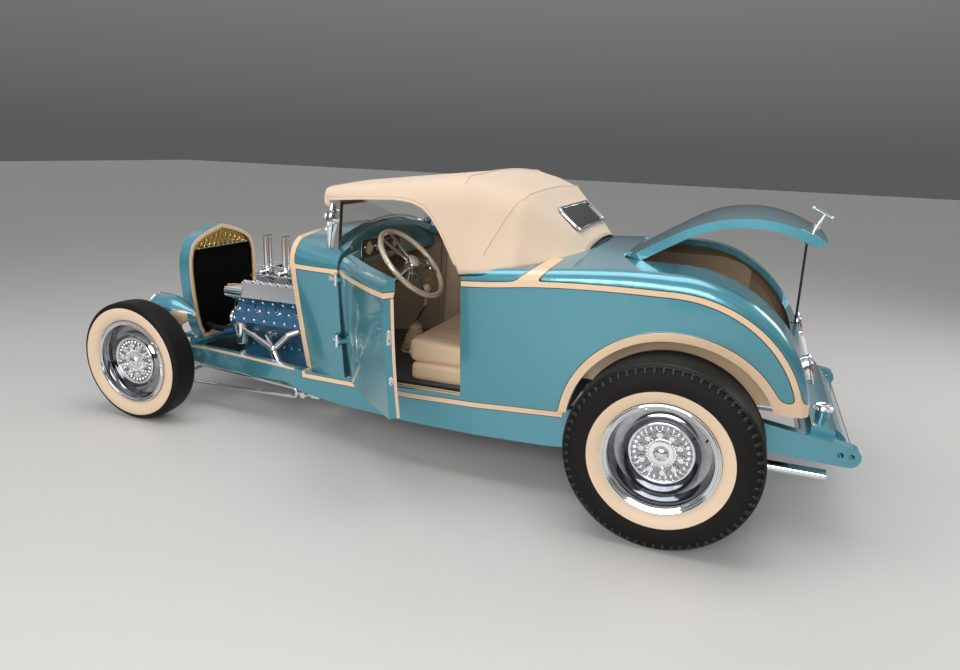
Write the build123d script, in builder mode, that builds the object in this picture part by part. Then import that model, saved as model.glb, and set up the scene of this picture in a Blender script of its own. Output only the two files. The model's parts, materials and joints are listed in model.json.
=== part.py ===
"""Open two-seat street rod roadster with no fenders, its left door and deck lid open.

Millimetres. X runs forward, Y to the left and Z up. The car is drawn about the ground
point midway between its axles, on its centreline, and each finished piece is then set
by SET_X and SET_Y, so that the origin lies under the middle of the standing car.
"""
from build123d import *
import os
from math import cos, radians, sin

os.makedirs("parts", exist_ok=True)

SET_X = 194
SET_Y = -80

# Running gear
WHEELBASE = 2692
FRONT_AXLE_X = WHEELBASE / 2
REAR_AXLE_X = -WHEELBASE / 2
FRONT_TYRE_R = 314
REAR_TYRE_R = 368
FRONT_TYRE_W = 146
REAR_TYRE_W = 250
FRONT_TRACK = 1330
REAR_TRACK = 1490
REAR_DISH = 9
BEAD_R = 206
RIM_LIP_R = 219
RIM_LIP = 7
FRONT_RIM_W = 112
REAR_RIM_W = 200
DRUM_R = 142
KINGPIN_Y = 590
SPINDLE_R = 18

# Clearances
SEAT_GAP = 0.3
PANEL_GAP = 6
RUN_GAP = 6

# Body shell
WALL = 45
ROOF = 26
LINER_GAP = 0.5
SIDE_BULGE = 8
COWL_FRONT_X = 480
DOOR_FRONT_X = 172
DOOR_REAR_X = -460
COCKPIT_FRONT_X = 192
COCKPIT_REAR_X = -800
SILL_FRONT = (480, 332)
SILL_REAR = (-920, 408)
ARCH_R = 410
ARCH_Z = 361
ARCH_DEPTH_Y = 500
WHEELHOUSE_WALL = 16
TAIL_BOTTOM_Z = 515
TAIL_CENTRE = (-1300, 500)
TAIL_CORE_R = 102
LID_FRONT_X = -1080
LID_REAR_Z = 752
LID_HALF_W = 430
LID_OPEN = 31
LID_HINGE = (LID_FRONT_X - 3, 1041)
LID_HINGE_Y = 300
LID_BARREL_R = 5
LATCH = (-1786, 1110)
ROD_FOOT = (-1791, 724)
PROP_R = 5
ROD_NOTCH_W = 26
DOOR_OPEN = 38
DOOR_HINGE = (DOOR_FRONT_X - 2, 616)
HINGE_R = 8
HINGE_STEP = 18
HINGE_HEIGHTS = (560, 850)
FLOOR_T = 16
BULKHEAD_X = -925
BULKHEAD_T = 14

# Frame
RAIL_T = 50
HORN_BORE_R = 11
CROSS_T = 60


def sill_z(x):
    """Height of the line on which the body sits on the frame."""
    slope = (SILL_REAR[1] - SILL_FRONT[1]) / (SILL_REAR[0] - SILL_FRONT[0])
    return SILL_FRONT[1] + slope * (x - SILL_FRONT[0])


def across(x=0, y=0, z=0):
    """A plane square to the car's length, drawn in (y, z)."""
    return Plane(origin=(x, y, z), x_dir=(0, 1, 0), z_dir=(1, 0, 0))


def side(y=0, x=0, z=0):
    """A plane along the car, drawn in (x, z); its normal points to the right."""
    return Plane(origin=(x, y, z), x_dir=(1, 0, 0), z_dir=(0, -1, 0))


def keep(piece, label, turn=None):
    """Set a finished piece in the part's frame, label it and write its file."""
    placed = piece.part
    if turn:
        placed = placed.rotate(*turn)
    placed = placed.moved(Location((SET_X, SET_Y, 0)))
    placed.label = label
    export_step(placed, f"parts/{label}.step")


# Body form
# place, sill half width, sill height, belt half width, belt height, deck edge half
# width, deck edge height, crown height
BODY_SECTIONS = [
    (480, 400, 260, 530, 885, 446, 1006, 1034),
    (170, 540, 260, 600, 893, 548, 962, 1064),
    (-460, 612, 260, 655, 915, 607, 965, 1052),
    (-950, 632, 260, 667, 957, 603, 1008, 1046),
    (-1300, 640, 260, 664, 961, 598, 1020, 1042),
]
# angle above level, half width near the centre, first radius, belt half width, belt
# radius, deck edge half width, deck edge radius, crown radius
TAIL_SECTIONS = [
    (90, 650, 100, 664, 461, 598, 520, 542),
    (67.5, 645, 100, 657, 467, 592, 525, 545),
    (45, 626, 100, 638, 475, 575, 531, 551),
    (22.5, 596, 100, 608, 484, 547, 540, 558),
    (0, 560, 100, 572, 492, 512, 548, 562),
]


def tail_plane(angle):
    """A plane through the tail's centre line at an angle above level, drawn in (y, radius)."""
    a = radians(angle)
    return Plane(
        origin=(TAIL_CENTRE[0], 0, TAIL_CENTRE[1]), x_dir=(0, 1, 0), z_dir=(sin(a), 0, cos(a))
    )


def body_section(plane, low_y, low, belt_y, belt, edge_y, edge, crown, inset, drop):
    """One closed section of the body, drawn in by inset at the sides and drop at the top."""
    low_y, belt_y, edge_y = low_y - inset, belt_y - inset, edge_y - inset
    low, belt, edge, crown = low - abs(drop), belt - drop, edge - drop, crown - drop
    bulge_y = (low_y + belt_y) / 2 + SIDE_BULGE
    with BuildSketch(plane) as section:
        with BuildLine():
            for s in (1, -1):
                ThreePointArc(
                    (s * low_y, low), (s * bulge_y, (low + belt) / 2), (s * belt_y, belt)
                )
                TangentArc((s * belt_y, belt), (s * edge_y, edge), tangent=(0, 1))
            ThreePointArc((edge_y, edge), (0, crown), (-edge_y, edge))
            Line((-low_y, low), (low_y, low))
        make_face()
    return section.sketch


def body_loft(inset=0, drop=0):
    """The whole body's form as one solid, drawn in by inset and drop."""
    with BuildPart() as form:
        loft([body_section(across(x), *size, inset, drop) for x, *size in BODY_SECTIONS])
        loft([body_section(tail_plane(a), *size, inset, drop) for a, *size in TAIL_SECTIONS])
        with Locations((TAIL_CENTRE[0], 0, TAIL_CENTRE[1])):
            Cylinder(TAIL_CORE_R, 2 * (TAIL_SECTIONS[-1][1] - inset), rotation=(90, 0, 0))
    return form.part


body_outer = body_loft()
body_inner = body_loft(WALL, ROOF)
liner = body_loft(WALL + LINER_GAP, ROOF + LINER_GAP)
body_cover = body_loft(-LINER_GAP, -LINER_GAP)

with BuildPart() as shell:
    add(body_outer)
    add(body_inner, mode=Mode.SUBTRACT)
    with BuildSketch(side()):
        with BuildLine():
            Polyline(
                (600, sill_z(600)), (-1000, sill_z(-1000)), (-1000, TAIL_BOTTOM_Z),
                (-2000, TAIL_BOTTOM_Z), (-2000, 0), (600, 0), close=True,
            )
        make_face()
    extrude(amount=800, both=True, mode=Mode.SUBTRACT)
    with Locations((REAR_AXLE_X, 0, ARCH_Z)):
        Cylinder(ARCH_R, 2000, rotation=(90, 0, 0), mode=Mode.SUBTRACT)


def band(points, depth, y=0):
    """A solid drawn in (x, z) and carried depth to both sides of y."""
    with BuildPart() as piece:
        with BuildSketch(side(y)):
            with BuildLine():
                Polyline(*points, close=True)
            make_face()
        extrude(amount=depth, both=True)
    return piece.part


def slab(points, low, high):
    """A solid drawn in plan and raised from low to high."""
    with BuildPart() as piece:
        with BuildSketch(Plane.XY.offset(low)):
            with BuildLine():
                Polyline(*points, close=True)
            make_face()
        extrude(amount=high - low)
    return piece.part


def mirrored_plan(half):
    """A closed plan outline from its left half, front to rear."""
    return half + [(x, -y) for x, y in reversed(half)]


COCKPIT_HALF = [
    (COCKPIT_FRONT_X, 430), (150, 546), (DOOR_REAR_X, 604), (-700, 606), (COCKPIT_REAR_X, 500),
]
cockpit_well = slab(mirrored_plan(COCKPIT_HALF), 860, 1200)
with BuildPart() as lid_well:
    with BuildSketch(Plane.XY.offset(LID_REAR_Z)):
        with Locations((LID_FRONT_X - 500, 0)):
            RectangleRounded(1000, 2 * LID_HALF_W, 60)
    extrude(amount=500)

open_shell = shell.part - cockpit_well - lid_well.part
front_x, rear_x = DOOR_FRONT_X, DOOR_REAR_X

# Cowl with its firewall
with BuildPart() as body_inner_rear:
    add(body_inner)
    with Locations((-400, 0, 700)):
        Box(2 * ((COWL_FRONT_X - 21) + 400), 2000, 2000, mode=Mode.INTERSECT)
FIREWALL_T = 16
FIREWALL_X = COWL_FRONT_X - 20
with BuildPart() as firewall:
    with Locations((FIREWALL_X + FIREWALL_T / 2, 0, 700)):
        Box(FIREWALL_T, 1400, 1000)
    add(body_inner, mode=Mode.INTERSECT)
with BuildPart() as cowl:
    add(open_shell)
    with Locations(((front_x + 700) / 2, 0, 700)):
        Box(700 - front_x, 2000, 1400, mode=Mode.INTERSECT)
    add(firewall.part)
    add(band([(600, sill_z(600)), (0, sill_z(0)), (0, 0), (600, 0)], 800), mode=Mode.SUBTRACT)
    for s in (1, -1):
        for z in HINGE_HEIGHTS:
            for step in (-1, 1):
                with Locations((DOOR_HINGE[0] + 13, s * (DOOR_HINGE[1] - 28), z + step * HINGE_STEP)):
                    Box(22, 56, HINGE_STEP - SEAT_GAP)
                with Locations((DOOR_HINGE[0], s * DOOR_HINGE[1], z + step * HINGE_STEP)):
                    Cylinder(HINGE_R, HINGE_STEP - SEAT_GAP)
    add(body_inner_rear, mode=Mode.SUBTRACT)
keep(cowl, "cowl")

# Door sills: the strip of body side left under the doors
SILL_H = 12
with BuildPart() as sills:
    add(open_shell)
    add(
        band(
            [
                (front_x - SEAT_GAP, 0), (front_x - SEAT_GAP, sill_z(front_x) + SILL_H),
                (rear_x + SEAT_GAP, sill_z(rear_x) + SILL_H), (rear_x + SEAT_GAP, 0),
            ],
            800,
        ),
        mode=Mode.INTERSECT,
    )
keep(sills, "sills")

# Doors
door_side = [
    (front_x - PANEL_GAP, sill_z(front_x) + SILL_H + PANEL_GAP),
    (front_x - PANEL_GAP, 1200), (rear_x + PANEL_GAP, 1200),
    (rear_x + PANEL_GAP, sill_z(rear_x) + SILL_H + PANEL_GAP),
]
for name, s, turned in (("door_left", 1, -DOOR_OPEN), ("door_right", -1, 0)):
    with BuildPart() as door:
        add(open_shell)
        add(band(door_side, 400, s * 400), mode=Mode.INTERSECT)
        with Locations(*[(DOOR_HINGE[0] - 13, s * (DOOR_HINGE[1] - 28), z) for z in HINGE_HEIGHTS]):
            Box(22, 56, HINGE_STEP - SEAT_GAP)
        with Locations(*[(DOOR_HINGE[0], s * DOOR_HINGE[1], z) for z in HINGE_HEIGHTS]):
            Cylinder(HINGE_R, HINGE_STEP - SEAT_GAP)
    hinge_axis = Axis((DOOR_HINGE[0], s * DOOR_HINGE[1], 0), (0, 0, 1))
    keep(door, name, (hinge_axis, turned))

# Quarters with the wheelhouses, the deck between them, and the tail
rear_zone = band([(rear_x, 0), (rear_x, 1200), (-2000, 1200), (-2000, 0)], 800)
QUARTER_Y = 470
with BuildPart() as wheelhouses:
    with Locations((REAR_AXLE_X, 0, ARCH_Z)):
        Cylinder(ARCH_R + WHEELHOUSE_WALL, 2 * 640, rotation=(90, 0, 0))
        Cylinder(ARCH_R, 2 * 640, rotation=(90, 0, 0), mode=Mode.SUBTRACT)
        for s in (1, -1):
            with Locations((0, s * (ARCH_DEPTH_Y - WHEELHOUSE_WALL / 2), 0)):
                Cylinder(ARCH_R + WHEELHOUSE_WALL, WHEELHOUSE_WALL, rotation=(90, 0, 0))
    with Locations((REAR_AXLE_X, 0, 900)):
        Box(1200, 2 * (ARCH_DEPTH_Y - WHEELHOUSE_WALL), 2000, mode=Mode.SUBTRACT)
    with Locations((REAR_AXLE_X, 0, 260)):
        Box(1200, 1400, 520, mode=Mode.SUBTRACT)
    add(body_inner, mode=Mode.INTERSECT)

for name, s in (("quarter_left", 1), ("quarter_right", -1)):
    with BuildPart() as quarter:
        add(open_shell)
        add(rear_zone, mode=Mode.INTERSECT)
        add(wheelhouses.part)
        with Locations((-1200, s * (QUARTER_Y + 400), 600)):
            Box(2000, 800, 1400, mode=Mode.INTERSECT)
    keep(quarter, name)

middle_half = [(rear_x, QUARTER_Y), (-2000, QUARTER_Y)]
with BuildPart() as deck:
    add(open_shell)
    add(slab(mirrored_plan(middle_half), 900, 1200), mode=Mode.INTERSECT)
    for y in (-LID_HINGE_Y, LID_HINGE_Y):
        with Locations((LID_HINGE[0], y, LID_HINGE[1])):
            Cylinder(LID_BARREL_R + 1.5, HINGE_STEP, rotation=(90, 0, 0), mode=Mode.SUBTRACT)
        for step in (-1, 1):
            with Locations((LID_HINGE[0], y + step * HINGE_STEP, LID_HINGE[1])):
                Cylinder(LID_BARREL_R, HINGE_STEP - SEAT_GAP, rotation=(90, 0, 0))
            with Locations((LID_HINGE[0] + 8, y + step * HINGE_STEP, LID_HINGE[1] - 3)):
                Box(16, HINGE_STEP - SEAT_GAP, 5)
keep(deck, "deck_panel")
with BuildPart() as tail:
    add(open_shell)
    add(slab(mirrored_plan(middle_half), 0, 900), mode=Mode.INTERSECT)
    add(rear_zone, mode=Mode.INTERSECT)
    with Locations((ROD_FOOT[0], 0, ROD_FOOT[1] + 22)):
        Box(90, ROD_NOTCH_W, 80, mode=Mode.SUBTRACT)
keep(tail, "tail_panel")

# Deck lid, opened about its front edge
LID_T = 34
lid_skin = body_outer - body_loft(WALL, LID_T)
with BuildPart() as closed_lid:
    add(lid_skin)
    with BuildSketch(Plane.XY.offset(LID_REAR_Z + PANEL_GAP)):
        with Locations((LID_FRONT_X - 500 - PANEL_GAP, 0)):
            RectangleRounded(1000, 2 * (LID_HALF_W - PANEL_GAP), 56)
    extrude(amount=500, mode=Mode.INTERSECT)
    for y in (-LID_HINGE_Y, LID_HINGE_Y):
        with Locations((LID_HINGE[0], y, LID_HINGE[1])):
            Cylinder(LID_BARREL_R, HINGE_STEP - SEAT_GAP, rotation=(90, 0, 0))
        with Locations((LID_HINGE[0] - 8, y, LID_HINGE[1] - 3)):
            Box(16, HINGE_STEP - SEAT_GAP, 5)
        for step in (-1, 1):
            with Locations((LID_HINGE[0], y + step * (HINGE_STEP + 0.5), LID_HINGE[1])):
                Cylinder(LID_BARREL_R + 2, HINGE_STEP + 1, rotation=(90, 0, 0), mode=Mode.SUBTRACT)
lid_axis = Axis((LID_HINGE[0], 0, LID_HINGE[1]), (0, 1, 0))
HANDLE = (-1812, 1174)
HANDLE_LEAN = radians(26)
ROD_EAR_Y = 11
with BuildPart() as deck_lid:
    add(closed_lid.part.rotate(lid_axis, LID_OPEN))
    with Locations((LATCH[0], ROD_EAR_Y, LATCH[1] + 21), (LATCH[0], -ROD_EAR_Y, LATCH[1] + 21)):
        Box(20, 5, 60)
keep(deck_lid, "deck_lid")

# T-shaped lid handle, its bar along the lid's slope
handle_up = (-sin(HANDLE_LEAN), 0, cos(HANDLE_LEAN))
handle_along = (-cos(HANDLE_LEAN), 0, -sin(HANDLE_LEAN))
HANDLE_H = 62
with BuildPart() as lid_handle:
    with Locations(Plane(origin=(HANDLE[0], 0, HANDLE[1]), z_dir=handle_up)):
        Cylinder(16, 24)
        with Locations((0, 0, HANDLE_H / 2)):
            Cylinder(7, HANDLE_H)
        with Locations((0, 0, HANDLE_H / 2 - 6)):
            Cylinder(10, 8)
    bar_at = [HANDLE[k] + HANDLE_H * handle_up[2 * k] - 12 * handle_along[2 * k] for k in (0, 1)]
    with Locations(Plane(origin=(bar_at[0], 0, bar_at[1]), z_dir=handle_along)):
        Cylinder(7, 84)
        with Locations((0, 0, 42), (0, 0, -42)):
            Sphere(8)
    add(deck_lid.part, mode=Mode.SUBTRACT)
keep(lid_handle, "lid_handle")

# Floor, rear bulkhead, trunk floor and dashboard, all cut from the space inside the shell
FLOOR_HALF = [(440, 375), (front_x, 480), (rear_x, 552), (BULKHEAD_X + 2, 572)]
with BuildPart() as floor:
    with BuildSketch(side()):
        with BuildLine():
            Polyline(
                (FLOOR_HALF[0][0], sill_z(FLOOR_HALF[0][0])),
                (FLOOR_HALF[-1][0], sill_z(FLOOR_HALF[-1][0])),
                (FLOOR_HALF[-1][0], sill_z(FLOOR_HALF[-1][0]) + FLOOR_T),
                (FLOOR_HALF[0][0], sill_z(FLOOR_HALF[0][0]) + FLOOR_T), close=True,
            )
        make_face()
    extrude(amount=700, both=True)
    add(slab(mirrored_plan(FLOOR_HALF), 200, 600), mode=Mode.INTERSECT)
keep(floor, "floor")

with BuildPart() as bulkhead:
    with Locations((BULKHEAD_X - BULKHEAD_T / 2, 0, 800)):
        Box(BULKHEAD_T, 1400, 2 * (799 - sill_z(BULKHEAD_X)))
    add(liner, mode=Mode.INTERSECT)
keep(bulkhead, "bulkhead")

TRUNK_FLOOR_Z = 548
with BuildPart() as trunk_floor:
    with Locations((0, 0, TRUNK_FLOOR_Z)):
        Box(4000, 2 * (ARCH_DEPTH_Y - WHEELHOUSE_WALL - 1), 14)
    add(
        band([(BULKHEAD_X - BULKHEAD_T - 1, 400), (BULKHEAD_X - BULKHEAD_T - 1, 700),
              (-2000, 700), (-2000, 400)], 800),
        mode=Mode.INTERSECT,
    )
    add(liner, mode=Mode.INTERSECT)
keep(trunk_floor, "trunk_floor")

DASH_X = 205
DASH_T = 16
DASH_LOW_Z = 872
with BuildPart() as dashboard:
    with BuildSketch(side()):
        with BuildLine():
            Polyline(
                (DASH_X, 1200), (DASH_X + DASH_T, 1200), (DASH_X + DASH_T + 8, DASH_LOW_Z),
                (DASH_X + 8, DASH_LOW_Z), close=True,
            )
        make_face()
    extrude(amount=800, both=True)
    add(liner, mode=Mode.INTERSECT)
keep(dashboard, "dashboard")

# Frame: rails cut from a side form and a plan form, then the members between them
RAIL_SIDE = [
    (1640, 298), (1346, 313), (1000, 325), (660, 330), (480, sill_z(480) - SEAT_GAP),
    (-940, sill_z(-940) - SEAT_GAP), (-1040, 432), (-1120, 468), (-1230, 494), (-1346, 503),
    (-1560, 492), (-1720, 463), (-2014, 420), (-2032, 412), (-2044, 396), (-2046, 374),
    (-2036, 352), (-2018, 342), (-1990, 340), (-1720, 350), (-1560, 392), (-1346, 420),
    (-1230, 408), (-1150, 375), (-1090, 318), (-1040, 272), (-960, 244), (-850, 232), (-100, 214),
    (215, 206), (420, 214), (484, 222), (530, 238), (575, 250), (730, 241), (920, 225),
    (1142, 222), (1262, 230), (1304, 290.5), (1388, 290.5), (1430, 242), (1640, 244),
    (1652, 262), (1652, 284),
]
HORN_BORES = (-1975, -2012)
HORN_BORE_Z = 385
RAIL_OUTER = [
    (1700, 362), (1200, 366), (450, 492), (-200, 598), (-520, 620), (-920, 614),
    (-1180, 562), (-2100, 545),
]
rails = {}
for name, s in (("frame_rail_left", 1), ("frame_rail_right", -1)):
    with BuildPart() as rail:
        with BuildSketch(side()):
            with BuildLine():
                Polyline(*RAIL_SIDE, close=True)
            make_face()
        extrude(amount=800, both=True)
        outline = [(x, s * y) for x, y in RAIL_OUTER]
        outline += [(x, s * (y - RAIL_T)) for x, y in reversed(RAIL_OUTER)]
        add(slab(outline, 100, 700), mode=Mode.INTERSECT)
        with Locations(*[(x, s * 520, HORN_BORE_Z) for x in HORN_BORES]):
            Cylinder(HORN_BORE_R, 200, rotation=(90, 0, 0), mode=Mode.SUBTRACT)
    rails[name] = rail.part
    keep(rail, name)

# place, length along the car, low, high
CROSSMEMBERS = [
    (FRONT_AXLE_X, 70, 289.3, 318), (120, 70, 200, 226), (-600, 70, 236, 262), (-1490, 50, 420, 500),
    (-1850, 40, 372, 432),
]
with BuildPart() as crossmembers:
    for x, length, low, high in CROSSMEMBERS:
        with Locations((x, 0, (low + high) / 2)):
            Box(length, 1400, high - low)
    add(slab(mirrored_plan([(x, y - RAIL_T) for x, y in RAIL_OUTER]), 100, 700), mode=Mode.INTERSECT)
keep(crossmembers, "crossmembers")

# Tyres: a rounded ring each
def tyre(axle_x, middle_y, outer_r, width, rim_w, shoulder):
    """A tyre about its axle, its beads inside the rim's lips."""
    s = 1 if middle_y > 0 else -1
    half, bead = width / 2, rim_w / 2 - SEAT_GAP
    bulge_r = RIM_LIP_R + 0.42 * (outer_r - RIM_LIP_R)
    tread = half - shoulder
    with BuildPart() as ring:
        with BuildSketch(across(axle_x, middle_y, outer_r)):
            with BuildLine():
                Line((-bead, BEAD_R), (bead, BEAD_R))
                Line((bead, BEAD_R), (bead, RIM_LIP_R + 2))
                ThreePointArc((bead, RIM_LIP_R + 2), (half, bulge_r), (half - 4, outer_r - shoulder))
                ThreePointArc(
                    (half - 4, outer_r - shoulder), (half - 0.4 * shoulder, outer_r - 0.35 * shoulder),
                    (tread, outer_r - 3),
                )
                ThreePointArc((tread, outer_r - 3), (0, outer_r), (-tread, outer_r - 3))
                ThreePointArc(
                    (-tread, outer_r - 3), (-half + 0.4 * shoulder, outer_r - 0.35 * shoulder),
                    (-half + 4, outer_r - shoulder),
                )
                ThreePointArc((-half + 4, outer_r - shoulder), (-half, bulge_r), (-bead, RIM_LIP_R + 2))
                Line((-bead, RIM_LIP_R + 2), (-bead, BEAD_R))
            make_face()
        revolve(axis=Axis((axle_x, 0, outer_r), (0, 1, 0)))
    return ring


def wheel(axle_x, middle_y, outer_r, rim_w, dish):
    """A chrome rim with its dished centre, hub and drum, facing away from the car."""
    s = 1 if middle_y > 0 else -1
    b = rim_w / 2
    with BuildPart() as disc:
        with BuildSketch(across(axle_x, middle_y, outer_r)):
            with BuildLine():
                Polyline(*[(s * t, r) for t, r in [
                    (-b - RIM_LIP, RIM_LIP_R), (-b, RIM_LIP_R), (-b, BEAD_R - SEAT_GAP),
                    (-b + 22, BEAD_R - 3), (-22, 190), (16, 190), (b - 24, BEAD_R - 3),
                    (b, BEAD_R - SEAT_GAP), (b, RIM_LIP_R), (b + RIM_LIP, RIM_LIP_R),
                    (b + RIM_LIP, RIM_LIP_R - 8), (b + 1, 198), (b - 22, 194), (18, 182),
                    (-24, 182), (-b + 20, 194), (-b - 1, 198), (-b - RIM_LIP, RIM_LIP_R - 8),
                ]], close=True)
            make_face()
            with BuildLine():
                Polyline(*[(s * (t + dish), r) for t, r in [
                    (-6, 184), (2, 184), (0, 150), (10, 132), (26, 116), (26, 60), (30, 56), (30, 0),
                    (22, 0), (22, SPINDLE_R + 0.6), (-26, SPINDLE_R + 0.6), (-26, 70), (-60, 70),
                    (-60, DRUM_R), (-16, DRUM_R), (-16, 150),
                ]], close=True)
            make_face()
        revolve(axis=Axis((axle_x, 0, outer_r), (0, 1, 0)))
    return disc


# name, axle place, side, tyre radius, tyre width, rim width, track, shoulder, dish
WHEELS = [
    ("front_left", FRONT_AXLE_X, 1, FRONT_TYRE_R, FRONT_TYRE_W, FRONT_RIM_W, FRONT_TRACK, 26, 4),
    ("front_right", FRONT_AXLE_X, -1, FRONT_TYRE_R, FRONT_TYRE_W, FRONT_RIM_W, FRONT_TRACK, 26, 4),
    ("rear_left", REAR_AXLE_X, 1, REAR_TYRE_R, REAR_TYRE_W, REAR_RIM_W, REAR_TRACK, 38, REAR_DISH),
    ("rear_right", REAR_AXLE_X, -1, REAR_TYRE_R, REAR_TYRE_W, REAR_RIM_W, REAR_TRACK, 38, REAR_DISH),
]
for name, axle_x, s, tyre_r, tyre_w, rim_w, track, shoulder, dish in WHEELS:
    keep(tyre(axle_x, s * track / 2, tyre_r, tyre_w, rim_w, shoulder), f"tyre_{name}")
    keep(wheel(axle_x, s * track / 2, tyre_r, rim_w, dish), f"wheel_{name}")


def tube(points, radius, bend, plane=None):
    """A round bar along straight runs joined by arcs, its points given in space."""
    with BuildPart() as bar:
        with BuildLine() as path:
            if len(points) == 2:
                Line(*points)
            else:
                FilletPolyline(*points, radius=bend)
        with BuildSketch(Plane(origin=path.line @ 0, z_dir=path.line % 0)):
            Circle(radius)
        sweep()
    return bar.part


# Front axle, with an eye for each kingpin
AXLE_R = 24
AXLE_LOW_Z = 214
PIN_R = 12
EYE_R = 26
EYE_H = 70
with BuildPart() as front_axle:
    half_beam = [(KINGPIN_Y - 8, FRONT_TYRE_R - 2), (KINGPIN_Y - 56, 298), (KINGPIN_Y - 116, AXLE_LOW_Z)]
    beam = [(FRONT_AXLE_X, y, z) for y, z in half_beam]
    beam += [(FRONT_AXLE_X, -y, z) for y, z in reversed(half_beam)]
    add(tube(beam, AXLE_R, 34))
    with Locations((FRONT_AXLE_X, KINGPIN_Y, FRONT_TYRE_R), (FRONT_AXLE_X, -KINGPIN_Y, FRONT_TYRE_R)):
        Cylinder(EYE_R, EYE_H)
        Cylinder(PIN_R + SEAT_GAP, EYE_H + 20, mode=Mode.SUBTRACT)
keep(front_axle, "front_axle")

# Front spring: a stack of leaves over the axle, with a post down to the beam at each end
LEAF_T = 7
SPRING_W = 44
# half length of each leaf
LEAVES = [440, 300, 220]
with BuildPart() as front_spring:
    for i, half in enumerate(LEAVES):
        with Locations((FRONT_AXLE_X, 0, 268 + (i + 0.5) * LEAF_T)):
            Box(SPRING_W, 2 * half, LEAF_T)
    for y in (-420, 420):
        with Locations((FRONT_AXLE_X, y, 250)):
            Box(30, 26, 40)
    add(front_axle.part, mode=Mode.SUBTRACT)
keep(front_spring, "front_spring")

# Knuckles: two cheeks on the kingpin, a spindle, a backing plate and a steering arm
ARM_BACK = 130
ARM_IN = 34
ARM_LOW_Z = FRONT_TYRE_R - EYE_H / 2 - 21
ARM_T = 12
for name, s in (("knuckle_left", 1), ("knuckle_right", -1)):
    with BuildPart() as knuckle:
        with Locations((FRONT_AXLE_X, s * KINGPIN_Y, FRONT_TYRE_R)):
            Cylinder(PIN_R, EYE_H + 44)
        for up in (-1, 1):
            z = FRONT_TYRE_R + up * (EYE_H / 2 + 1 + 10)
            with BuildSketch(Plane.XY.offset(z - 10)):
                with Locations((FRONT_AXLE_X, s * KINGPIN_Y)):
                    Circle(24)
                with Locations((FRONT_AXLE_X, s * (KINGPIN_Y + 20))):
                    Rectangle(44, 40)
            extrude(amount=20)
        with Locations((FRONT_AXLE_X, s * (KINGPIN_Y + 37), FRONT_TYRE_R)):
            Box(44, 10, EYE_H + 40)
        with Locations((FRONT_AXLE_X, s * (KINGPIN_Y + 62), FRONT_TYRE_R)):
            Cylinder(SPINDLE_R, 60, rotation=(90, 0, 0))
        with BuildSketch(Plane.XY.offset(ARM_LOW_Z)):
            with BuildLine():
                Polyline(
                    (FRONT_AXLE_X + 16, s * (KINGPIN_Y - 14)), (FRONT_AXLE_X + 16, s * (KINGPIN_Y + 14)),
                    (FRONT_AXLE_X - ARM_BACK, s * (KINGPIN_Y - ARM_IN + 11)),
                    (FRONT_AXLE_X - ARM_BACK - 11, s * (KINGPIN_Y - ARM_IN)),
                    (FRONT_AXLE_X - ARM_BACK, s * (KINGPIN_Y - ARM_IN - 11)), close=True,
                )
            make_face()
        extrude(amount=ARM_T)
    keep(knuckle, name)

# Tie rod between the two arms, standing just under them
TIE_R = 9
STUD_R = 12
TIE_Z = 210
with BuildPart() as tie_rod:
    tie_x = FRONT_AXLE_X - ARM_BACK
    tie_y = KINGPIN_Y - ARM_IN
    with Locations((tie_x, 0, TIE_Z)):
        Cylinder(TIE_R, 2 * tie_y, rotation=(90, 0, 0))
    stud_low = TIE_Z - STUD_R
    with Locations((tie_x, tie_y, stud_low), (tie_x, -tie_y, stud_low)):
        Cylinder(STUD_R, ARM_LOW_Z - SEAT_GAP - stud_low, align=(Align.CENTER, Align.CENTER, Align.MIN))
keep(tie_rod, "tie_rod")

# Hairpin radius rods: bars bent back on themselves, each with a ball under its rail
ROD_R = 9
HAIRPIN_Y = 396
HAIRPIN_END = (530, 436, 184)
HAIRPIN_BALL = (486, 442, 184)
with BuildPart() as radius_rods:
    for s in (1, -1):
        add(
            tube(
                [(FRONT_AXLE_X - 36, s * HAIRPIN_Y, 240), (536, s * 436, 208),
                 (536, s * 436, 160), (FRONT_AXLE_X - 36, s * HAIRPIN_Y, 122)],
                ROD_R, 20,
            )
        )
        with Locations((FRONT_AXLE_X - 20, s * HAIRPIN_Y, 181)):
            Box(70, 12, 142)
        ball = (HAIRPIN_BALL[0], s * HAIRPIN_BALL[1], HAIRPIN_BALL[2])
        add(tube([(HAIRPIN_END[0], s * HAIRPIN_END[1], HAIRPIN_END[2]), ball], 8, 0))
        with Locations(ball):
            Cylinder(16, 30, rotation=(90, 0, 0))
        add(tube([ball, (400, s * 456, 204)], 11, 0))
        with Locations((398, s * 458, 206)):
            Box(52, 30, 40)
    add(front_axle.part, mode=Mode.SUBTRACT)
    for rail in rails.values():
        add(rail, mode=Mode.SUBTRACT)
keep(radius_rods, "radius_rods")

# Rear axle: a round middle housing with tapering tubes out to the backing plates
HOUSING_R = 118
BACKING_Y = REAR_TRACK / 2 + REAR_DISH - 60 - RUN_GAP
REAR_SPINDLE_Y = REAR_TRACK / 2 + REAR_DISH + 20
with BuildPart() as rear_axle:
    with BuildSketch(across(REAR_AXLE_X, 0, REAR_TYRE_R)):
        with BuildLine():
            Polyline(
                (0, 0), (0, HOUSING_R), (40, HOUSING_R - 6), (90, 82), (130, 58), (BACKING_Y - 60, 34),
                (BACKING_Y - 60, 46), (BACKING_Y - 8, 46), (BACKING_Y - 8, DRUM_R), (BACKING_Y, DRUM_R),
                (BACKING_Y, SPINDLE_R), (REAR_SPINDLE_Y, SPINDLE_R), (REAR_SPINDLE_Y, 0), close=True,
            )
        make_face()
    revolve(axis=Axis((REAR_AXLE_X, 0, REAR_TYRE_R), (0, 1, 0)))
    mirror(about=Plane.XZ)
keep(rear_axle, "rear_axle")

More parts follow.
